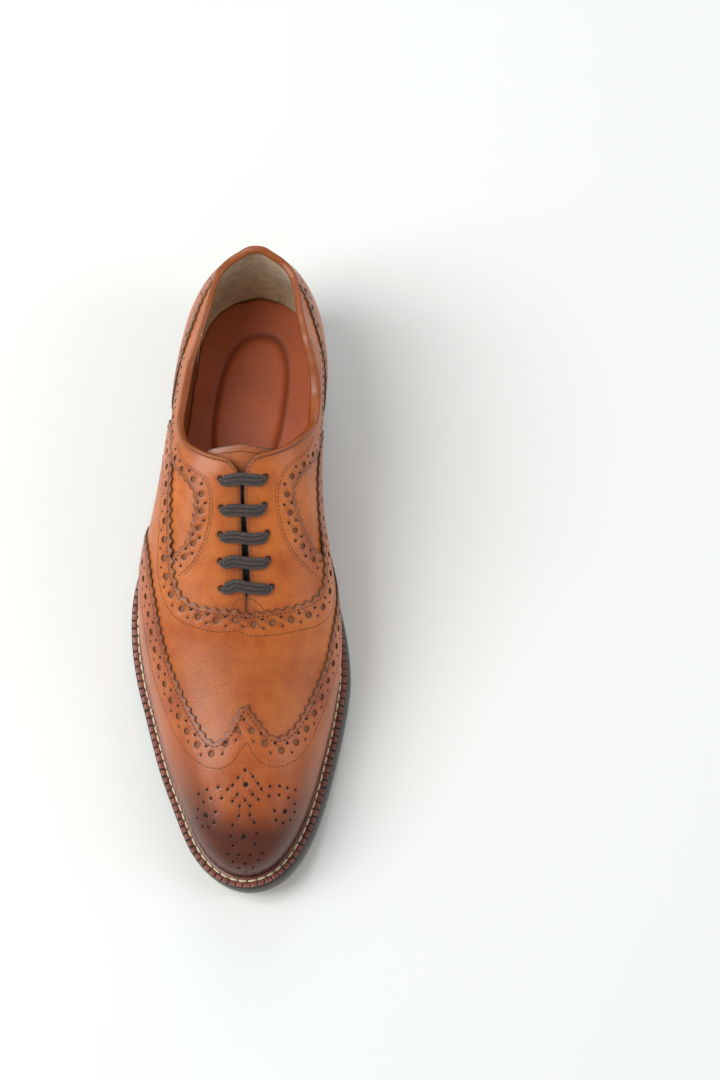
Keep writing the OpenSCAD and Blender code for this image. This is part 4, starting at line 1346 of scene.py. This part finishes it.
def build_rearfoot_stitching():
    rows = Merged()
    for part in SIDES:
        sign = part.sign
        inner_end = part.inner.near(part.inner_row_end)
        stitch_row(rows, part.back, -sign*1.7, facing_top, length=1.15, start=1,
                   end=part.back.near(part.back_row_end), hole=.34)
        stitch_row(rows, part.inner, 0, facing_top, start=1, end=inner_end, hole=.46)
        stitch_row(rows, part.inner, -sign*1.2, facing_top, radius=.17, start=2,
                   end=inner_end, hole=.36)
        stitch_row(rows, part.front, sign*1.6, facing_top, length=1.05, radius=.2, start=1,
                   end=part.front.near(part.front_row_end), hole=.46)
    for part in SIDES:
        topline = part.top.part(part.top.near(part.seam),
                                part.top.near(part.topline_row_end))
        stitch_row(rows, topline, part.sign*1.9, quarter_top, length=1.3)
    stitch_row(rows, HEEL_TOP, 2.2, fox_top, length=1.2, hole=.33)
    for curve in (FOX_L, FOX_M):
        stitch_row(rows, curve, 1.9, fox_top, pitch=2.1, length=1.15, radius=.22, hole=.4)
        stitch_row(rows, curve.offset(7.6, smoothing=3), 0, fox_top, length=1.2, hole=.34)
    # a small arch over the toe end of the facings
    arch = Curve(points("-1.4,-33.0 -.2,-30.6 1.8,-28 4.1,-27.1 6.2,-28 7.8,-30.0 8.6,-31.6"))
    stitch_row(rows, arch, 0, facing_top, pitch=1.3, length=1.15, radius=.2)
    attach(rows.make("stitching_rearfoot", "upper_thread", ""), body="rearfoot")


def build_tongue_stitching():
    rows = Merged()
    x = TONGUE_X
    curve = Curve([[x-16.6, 24], [x-15.6, 28.2], [-9.5, 30], [x, 28.8], [11.5, 30],
                   [x+15.6, 28.2], [x+16.6, 24]])
    stitch_row(rows, curve, 0, const(TONGUE_DEPTH), pitch=1.8, radius=.24)
    attach(rows.make("stitching_tongue", "topline_thread", ""), body="tongue_body")


# ---------------------------------------------------------------- lace
LACE_WIDTH, LACE_THICK = 6.0, 2.3
LACE_IN, LACE_TOP = -3.45, 2.3        # depth inside the facings and over them
BAR_SAG = (1.1, 2.2, 2.6, 1.9, .9)    # bow of each bar towards the toe, from the top one


def lace_bar(i, to_medial):
    """Stations (pattern point, depth, width, thickness) across eyelet pair i."""
    a, b = LATERAL.eyelets[i], MEDIAL.eyelets[i]
    if not to_medial:
        a, b = b, a

    def station(f, drop, width, thick):
        sag = BAR_SAG[i]*4*f*(1-f)+1.0*min(1, 14*f, 14*(1-f))-.1
        return a*(1-f)+b*f-np.array([0, sag]), LACE_TOP-drop, width, thick
    return [(a, LACE_IN, 2.3, 1.4), (a, -.8, 2.2, 1.7),
            station(.04, 1.3, 3.6, 1.8), station(.13, .15, 5.8, 2.1),
            station(.31, 0, LACE_WIDTH, LACE_THICK), station(.5, -.05, LACE_WIDTH, LACE_THICK),
            station(.69, 0, LACE_WIDTH, LACE_THICK), station(.87, .15, 5.8, 2.1),
            station(.96, 1.3, 3.6, 1.8), (b, -.8, 2.2, 1.7), (b, LACE_IN, 2.3, 1.4)]


def lace_stations():
    """The whole lace, end to end."""
    def hidden(base, x, y, width=2.3):
        return [(np.asarray(base)+np.array([x, y]), LACE_IN, width, 1.4)]
    lat, med = LATERAL.eyelets, MEDIAL.eyelets
    none = (0., 0.)
    return (hidden(none, 21, -6., 2.5)+hidden(none, 16.5, 3., 2.5)+lace_bar(1, False)
            + hidden(lat[1], -3.2, -3)+hidden(lat[2], -4, 0)+hidden(lat[3], -3.2, 3)
            + lace_bar(3, True)+hidden((med[3]+med[4])/2, 0, 0)+lace_bar(4, False)
            + hidden(lat[4], 3.1, 3)+hidden(lat[3], 3.4, 0)+hidden(lat[2], 3.1, -3)
            + lace_bar(2, True)
            + hidden(med[2], -3, 3)+hidden(med[1], -3.6, 0)+hidden(med[0], -3, -3)
            + lace_bar(0, False)+hidden(none, -12.5, 13., 2.5)+hidden(none, -16, 3., 2.5))


def build_lace():
    stations = lace_stations()
    depth = np.array([s[1] for s in stations])
    size = np.array([s[2:] for s in stations])
    p, _, _, normal = surface(np.array([s[0] for s in stations]))
    full = catmull(np.concatenate([p+normal*depth[:, None], normal, size], 1), 14)
    run = running(np.linalg.norm(np.diff(full[:, :3], axis=0), axis=1))
    s = np.arange(0, run[-1], .33)
    full = np.stack([np.interp(s, run, full[:, k]) for k in range(8)], -1)
    path, normal, width, height = full[:, :3], unit(full[:, 3:6]), full[:, 6], full[:, 7]
    ahead = unit(np.gradient(path, axis=0))
    # where the lace dives through an eyelet its face turns towards the heel
    dive = np.clip((np.abs((ahead*normal).sum(1))[:, None]-.5)/.35, 0, 1)
    side = np.cross(ahead, normal*(1-dive)+np.array([0., 1., .3])*dive)
    for i in range(1, len(side)):
        if (side[i]*side[i-1]).sum() < 0:
            side[i] = -side[i]
    smooth(side, 10)
    side = unit(side-ahead*(side*ahead).sum(1, keepdims=True))
    # herringbone braid: strands run out from the middle line on both faces
    around = 40
    cos = np.cos(turn(around))
    x = cos[None]*width[:, None]/2
    strand = np.abs(np.sin((s[:, None]-np.abs(x)*1.3)*math.pi/1.5))**1.2
    rib = .5+.5*np.cos(cos*math.pi*3)[None]
    braid = strand*(.5+.5*rib)
    verts, faces = sweep(path, side, np.cross(side, ahead), width, height, around, 2.15,
                         swell=-.16+.24*braid)
    attach(make("lace", verts, faces, "lace_cotton", point_values={
        "br": braid.ravel(), "sx": np.repeat(s, around), "cx": np.tile(cos, len(s))}),
        "lace", "rearfoot")


def build_aglets():
    aglets = Merged()
    way = np.array([0, .04, .1, .5, .9, .96, 1.])
    width = np.array([1.4, 1.75, 1.9, 1.85, 1.8, 1.5, 1.0])
    for ends in ([21.5, -7], [25, -14]), ([-16.5, 1.5], [-19, -6]):
        p, _, _, normal = surface(np.array(ends, float))
        start, end = p+normal*(LACE_IN-.1)
        ahead = unit(end-start)
        side = unit(np.cross(ahead, normal[0]))
        aglets.add(*sweep(start+(end-start)*way[:, None], np.tile(side, (7, 1)),
                          np.tile(np.cross(side, ahead), (7, 1)), width, width, 20, 2.0))
    attach(aglets.make("lace_aglets", "aglet_plastic"), "lace_aglets", "rearfoot")


# ---------------------------------------------------------------- the bottom
def sole_point(degrees, inset):
    """Point inset mm inside the sole edge; negative angles are lateral."""
    degrees = np.asarray(degrees, float)
    side = np.where(degrees < 0, -1.0, 1.0)
    nu = np.radians(np.abs(degrees))
    x, y = outline(nu, side)
    nx, ny = outline_normal(nu, side)
    return np.stack([x-nx*inset, y-ny*inset], -1)


def flare(degrees):
    """How far the outsole stands out round the medial toe."""
    side = np.where(degrees < 0, -1.0, 1.0)
    nu = np.radians(np.abs(degrees))
    nx, ny = outline_normal(nu, side)
    return (2.7*np.clip(nx*.72-ny*.69, 0, 1)**1.5
            * (1-ease(-150, -60, outline(nu, side)[1])))


def path_lengths(pts):
    return running(np.hypot(*np.diff(pts, axis=0).T))


def edge_measure(start, end, inset=0.0):
    degrees = np.linspace(start, end, 4001)
    return degrees, path_lengths(sole_point(degrees, inset))


def even_angles(n, start=-180, end=180, inset=0.0):
    """Angles that give even steps along the sole edge."""
    degrees, run = edge_measure(start, end, inset)
    return np.interp(np.linspace(0, run[-1], n), run, degrees)


def edge_strip(name, degrees, profile, finish, slot, wheeled=False):
    """A closed (inset, z above the outsole) section swept round the sole edge."""
    run = path_lengths(sole_point(degrees, 0))
    profile = np.asarray(profile, float)
    verts = np.zeros((len(degrees), len(profile), 3))
    for j, (inset, z) in enumerate(profile):
        p = sole_point(degrees, inset)
        verts[:, j, :2] = p
        verts[:, j, 2] = under(p[:, 1])+SOLE+z
        if wheeled and z > 2.4 and .35 < inset < 2.7:
            phase = np.abs(np.mod(run/WHEEL_PITCH, 1.0)-.5)
            verts[:, j, 2] -= WHEEL_DEPTH*ease(WHEEL_START, WHEEL_FULL, phase)
    n, m = verts.shape[:2]
    return make(name, verts.reshape(-1, 3), tube_faces(n, m), finish, slot,
                {"e": np.tile(profile[:, 0], n), "s": np.repeat(run, m)})


# inset from the sole edge, height above the outsole
WELT_PROFILE = [
    (11, .06), (6, .06), (1.2, .06), (.42, .1), (.12, .4), (0, 1.0), (0, 2.0), (.14, 2.6),
    (.4, 2.84), (.62, 2.95), (.9, 3.02), (1.7, 3.05), (2.3, 3.03), (2.6, 2.95), (2.8, 2.72),
    (3.1, 2.6), (3.9, 2.6), (4.2, 2.8), (5.6, 2.95), (11, 2.95)]
RAND_PROFILE = [(9, .06), (1.2, .06), (.55, .12), (.3, .5), (.2, 1.4), (.2, 2.2), (.4, 2.7),
                (.8, 2.92), (2, 2.95), (9, 2.95)]
RIB_PROFILE = [(13.4, .08), (11.5, .08), (11.35, .5), (11.35, 2.5), (11.5, 2.9), (13.4, 2.9)]
WELT_END = 126.9                      # angle where the welt meets the heel rand


def build_welt():
    angles = even_angles(1500, -WELT_END, WELT_END)
    attach(edge_strip("welt", angles, WELT_PROFILE, "welt_finish", "welt_leather",
                      wheeled=True), "welt")
    angles = np.concatenate([even_angles(160, WELT_END, 180),
                             even_angles(160, -180, -WELT_END)[1:]])
    attach(edge_strip("heel_rand", angles, RAND_PROFILE, "welt_finish", "welt_leather"),
           "heel_rand", "rearfoot")


FLAT_WALL = [(.25, 0), (0, .3), (0, .7), (.25, 1)]


def slab(name, loop, bottom, top, finish, slot=None, wall=FLAT_WALL, grid=5.0, rings=()):
    """A layer cut to loop; wall is (inset, share of the height) upwards, rings are holes."""
    loop = counterclockwise(np.asarray(loop))
    inner = inward(loop)
    rings = list(rings)

    def cap(inset):
        rim = loop+inner*inset
        field = staggered_grid(rim.min(0), rim.max(0), grid)
        field = field[inside(field, rim)]
        field = field[distance_to(rim)(field) > grid*.45]
        if rings:
            field = field[distance_to(np.concatenate(rings))(field) > grid*.3]
        q, tri, index = triangulate([rim]+rings, field)
        centres = q[tri].mean(1)
        keep = inside(centres, rim)
        for ring in rings:
            keep &= ~inside(centres, ring)
        return q, facing_up(q, tri[keep]).tolist(), index

    low, low_tri, low_index = cap(wall[0][0])
    high, high_tri, high_index = cap(wall[-1][0])
    first = len(low)
    verts = [np.column_stack([low, bottom(low)]), np.column_stack([high, top(high)])]
    faces = [tuple(f[::-1]) for f in low_tri]+[tuple(i+first for i in f) for f in high_tri]
    n_caps = len(faces)
    levels = [low_index[0]]
    count, n = first+len(high), len(loop)
    for inset, share in wall[1:-1]:
        p = loop+inner*inset
        verts.append(np.column_stack([p, bottom(p)*(1-share)+top(p)*share]))
        levels.append(range(count, count+n))
        count += n
    levels.append([i+first for i in high_index[0]])
    for a, b in zip(levels, levels[1:]):
        faces += [(a[i], a[(i+1) % n], b[(i+1) % n], b[i]) for i in range(n)]
    for a, b in zip(low_index[1:], high_index[1:]):
        for i in range(len(a)):
            j = (i+1) % len(a)
            faces.append((a[i], b[i]+first, b[j]+first, a[j]))
    n_walls = len(faces)-n_caps
    return make(name, np.concatenate(verts), faces, finish, slot, face_values={
        "wall": [0]*n_caps+[1]*n_walls,
        "rimtop": [0]*len(low_tri)+[1]*len(high_tri)+[0]*n_walls})


def nail_centres():
    """Middles of the clusters of vertices in the CAD nails."""
    clusters = []
    for v in bpy.data.objects["heel_nails"].data.vertices:
        p = np.array(v.co)[:2]*1000
        for cluster in clusters:
            if math.hypot(p[0]-cluster[0][0], p[1]-cluster[0][1]) < 4:
                cluster.append(p)
                break
        else:
            clusters.append([p])
    return [np.mean([np.min(c, axis=0), np.max(c, axis=0)], axis=0) for c in clusters]


NAILS = nail_centres()
BREAST_Y, BREAST_RADIUS = -173, 153   # circle that cuts the front of the heel


def nail_rings(radius):
    a = turn(16)
    return [np.stack([x+radius*np.cos(a), y+radius*np.sin(a)], -1) for x, y in NAILS]


def above(z):
    """A height z over the underside of the outsole."""
    return lambda q: under(q[:, 1])+z


def build_outsole():
    angles = even_angles(640)[:-1]
    attach(slab("outsole", sole_point(angles, -flare(angles)), above(.04), above(4.94),
                "sole_finish", "outsole_leather", rings=nail_rings(1.3),
                wall=[(1.0, 0), (.45, .05), (.12, .22), (0, .45), (.05, .68), (.3, .9),
                      (.7, 1)]), "outsole")


def heel_loop(inset):
    angles = even_angles(720, 100, 180)
    sides = []
    for sign in (1, -1):
        p = sole_point(sign*angles, inset)
        sides.append(p[np.hypot(p[:, 0], p[:, 1]-BREAST_Y) > BREAST_RADIUS])
    start, end = [math.atan2(p[0][1]-BREAST_Y, p[0][0]) for p in sides[::-1]]
    t = np.linspace(start, end, 40)
    breast = np.stack([BREAST_RADIUS*np.cos(t), BREAST_Y+BREAST_RADIUS*np.sin(t)], -1)
    return np.concatenate([sides[0][::3], sides[1][::-1][::3], breast[1:-1]])


def build_heel():
    top_piece = 6
    lift = (HEEL_HEIGHT-top_piece)/3
    lift_wall = [(.7, 0), (.25, .05), (.05, .14), (0, .3), (0, .75), (.06, .9), (.28, 1)]
    rubber_wall = [(.9, 0), (.3, .06), (0, .2), (0, .6), (0, .86), (.14, .95), (.4, 1)]
    # name, bottom and top z, inset, finish, slot, wall
    layers = [("heel_top_piece", 0, top_piece, 1.8, "top_piece_rubber", None, rubber_wall)]
    layers += [(f"heel_lift_{i+1}", top_piece+i*lift, top_piece+(i+1)*lift, inset,
                "stack_finish", "heel_stack_leather", lift_wall)
               for i, inset in enumerate((1.4, 1.0, .6))]
    for name, low, high, inset, finish, slot, wall in layers:
        attach(slab(name, heel_loop(inset), const(low), const(high-.05), finish, slot,
                    wall, grid=4.0, rings=nail_rings(1.42)), name, "rearfoot")


def build_nails():
    # radius, z
    profile = [(.0, .45), (.7, .47), (1.05, .6), (1.12, .8), (.95, 1.1), (.9, 4), (.9, 26.5),
               (.7, 28.6), (.0, 28.8)]
    around = 14
    nails = Merged()
    for x, y in NAILS:
        verts = [[x+max(r, .02)*math.cos(a), y+max(r, .02)*math.sin(a), z]
                 for r, z in profile for a in turn(around)]
        nails.add(np.array(verts), tube_faces(len(profile), around))
    attach(nails.make("heel_nails_v", "nail_metal", "steel"), "heel_nails", "rearfoot")


def sole_stitches(inset, pitch, length, radius, height, end, wide, bulge):
    """Stitches from -end to end degrees; bulge is 1 on the welt, -1 on the underside."""
    n = int(edge_measure(-end, end, inset)[1][-1]/pitch)
    total = edge_measure(-end, end, inset)[1][-1]
    edge = sole_point(even_angles(4000, -end, end, inset), inset)
    run = path_lengths(edge)

    def place(s):
        return np.stack([np.interp(s, run, edge[:, k]) for k in (0, 1)], -1)
    s = stitch_positions(0, total, n, length)
    q = place(s)
    t = unit(place(s+.3)-q)
    radii = np.tile(np.array([.5, .92, 1, 1, .92, .5])*radius, n)
    lift = np.tile([-.3, 0, .08, .08, 0, -.3], n)*bulge
    centres = np.column_stack([q, under(q[:, 1])+height+lift])
    side = np.column_stack([-t[:, 1], t[:, 0], 0*t[:, 0]])
    up = np.tile([0, 0, 1.], (len(q), 1))
    return stitch_tubes(centres, side, up, radii, wide, around=8, flip=True)


def build_sole_stitches():
    rows = Merged()
    rows.add(*sole_stitches(inset=3.5, pitch=4.6, length=4.15, radius=.46, height=7.92,
                            end=125.5, wide=1.2, bulge=1))
    rows.add(*sole_stitches(inset=5.2, pitch=3.2, length=2.5, radius=.3, height=.02,
                            end=112, wide=1.1, bulge=-1))
    attach(rows.make("outsole_stitches", "welt_thread"), "outsole_stitches")


PAD_SKEW = .136                       # x per y of the heel pad's long axis


def oval(q, half_width=16.0, half_length=36):
    """1 on a rounded oval over the heel pad, less inside."""
    x = (q[:, 0]+1.2-PAD_SKEW*(q[:, 1]+4.5))/half_width
    y = (q[:, 1]+26)/half_length
    return (np.abs(x)**2.5+np.abs(y)**2.5)**(1/2.5)


def sock_bottom(q):
    return under(q[:, 1])+10.72+1.3*(1-ease(.92, 1.1, oval(q)))


def sock_top(q):
    """Raised over the pad, with a shallow groove round it."""
    o = oval(q)
    return (under(q[:, 1])+11.8+1.35*(1-ease(.93, 1.06, o))
            - .3*np.exp(-((o-1.10)/.035)**2))


def build_inside():
    angles = even_angles(300)[:-1]
    turned = np.abs(angles)
    feather = feather_inset(np.radians(turned))
    attach(slab("insole", sole_point(angles, 3.6+feather), above(8.06), above(10.64),
                "insole_leather"), "insole")
    shank_hole = np.array([[-9.35, -112.5], [5.35, -112.5], [5.35, -7.5], [-9.35, -7.5]])
    attach(slab("cork_filler", sole_point(even_angles(260)[:-1], 13.9), above(5.08),
                above(7.92), "cork", rings=[shank_hole]), "cork_filler")
    attach(edge_strip("insole_rib", even_angles(420, -126.5, 126.5), RIB_PROFILE, "canvas",
                      None), "insole_rib")
    inset = feather+4.6-3.5*ease(92, 108, turned)+4.6*ease(150, 174, turned)
    sock = slab("sock_liner", sole_point(angles, inset), sock_bottom, sock_top,
                "sock_leather", grid=1.5)
    q = np.array([v.co[:2] for v in sock.data.vertices])*1000
    o = oval(q)
    # painted shade: a dark rim round the raised oval, and a darker heel end outside it
    ring = np.exp(-((o-1.07)/.07)**2)+.28*ease(1.0, 1.15, o)*ease(-52, -30, q[:, 1])
    attribute = sock.data.attributes.new("ring", "FLOAT", "POINT")
    attribute.data.foreach_set("value", ring.astype(np.float32))
    attach(sock, "sock_liner")


def build_heel_pad():
    a = turn(90)
    loop = np.stack([-.07+PAD_SKEW*(-22.5+31.5*np.sin(a))+13.4*np.cos(a),
                     -27+31.5*np.sin(a)], -1)
    attach(slab("heel_pad", loop, above(10.7),
                lambda q: under(q[:, 1])+10.74+.95*(1-ease(.72, .97, oval(q, 14.6, 32.8))),
                "foam", wall=[(.1, 0), (0, .4), (0, .6), (.1, 1)], grid=2.2),
           "heel_pad", "rearfoot")


def finish_shank():
    """The CAD shank stays, in steel."""
    shank = bpy.data.objects["shank"]
    shank.data.materials.clear()
    shank.data.materials.append(MATERIALS["steel"])


# ---------------------------------------------------------------- set, in metres
def build_floor():
    new_material("floor").set({"Base Color": (.845, .865, .845), "Roughness": .9,
                               "Specular IOR Level": .1})
    bpy.ops.mesh.primitive_plane_add(size=6, location=(0, 0, -.0005))
    floor = bpy.context.object
    floor.name = "floor"
    floor.data.materials.append(MATERIALS["floor"])


def area_light(name, location, target, size, power, colour=(1, 1, 1), length=None):
    light = bpy.data.lights.new(name, "AREA")
    light.size = size
    light.energy = power
    light.color = colour
    if length:
        light.shape = "RECTANGLE"
        light.size_y = length
    ob = bpy.data.objects.new(name, light)
    bpy.context.scene.collection.objects.link(ob)
    ob.location = location
    aim = Vector(target)-Vector(location)
    ob.rotation_euler = aim.to_track_quat("-Z", "Y").to_euler()


def build_lights():
    area_light("key", (-1.05, -.18, 1.38), target=(0, -.12, .05), size=1.0, power=26,
               colour=(.985, .99, .975), length=1.5)
    area_light("fill", (1.35, -.25, 1.05), target=(0, -.12, .05), size=.7, power=5.8,
               colour=(.97, .985, 1), length=1.3)
    area_light("back", (.0, 1.4, 1.0), target=(0, -.10, .05), size=.8, power=6)


def build_world():
    """Pale surroundings, dimmer overhead and slightly dimmer towards +X."""
    world = bpy.data.worlds.new("w")
    world.use_nodes = True
    g = Graph(world.node_tree)
    background = g.tree.nodes["Background"]
    background.inputs[0].default_value = (.94, .95, .95, 1)
    x, _, z = g.axes("Generated")
    g.put(background.inputs[1], z.remap(.62, .95, .48, .33)*x.remap(-.1, .8, 1.0, .97))
    bpy.context.scene.world = world


def build_camera():
    lens = bpy.data.cameras.new("cam")
    lens.sensor_fit = "VERTICAL"
    lens.sensor_height = 36
    lens.lens = 95.3
    lens.clip_start = .1
    camera = bpy.data.objects.new("cam", lens)
    bpy.context.scene.collection.objects.link(camera)
    tilt, distance = math.radians(16), 1.4
    view = Vector((0, math.sin(tilt), -math.cos(tilt)))
    camera.location = Vector((.0505, -.0947, .040))-distance*view
    camera.rotation_euler = view.to_track_quat("-Z", "Y").to_euler()
    bpy.context.scene.camera = camera
    bpy.context.scene.view_settings.view_transform = "Standard"


for build in (make_materials, build_wingtip, build_vamp, build_quarters, build_facings,
              build_foxing, build_linings, build_stiffeners, build_tongue,
              build_upper_stitching, build_rearfoot_stitching, build_tongue_stitching,
              build_lace, build_aglets, build_welt, build_outsole, build_heel, build_nails,
              build_sole_stitches, build_inside, build_heel_pad, finish_shank, build_floor,
              build_lights, build_world, build_camera):
    build()
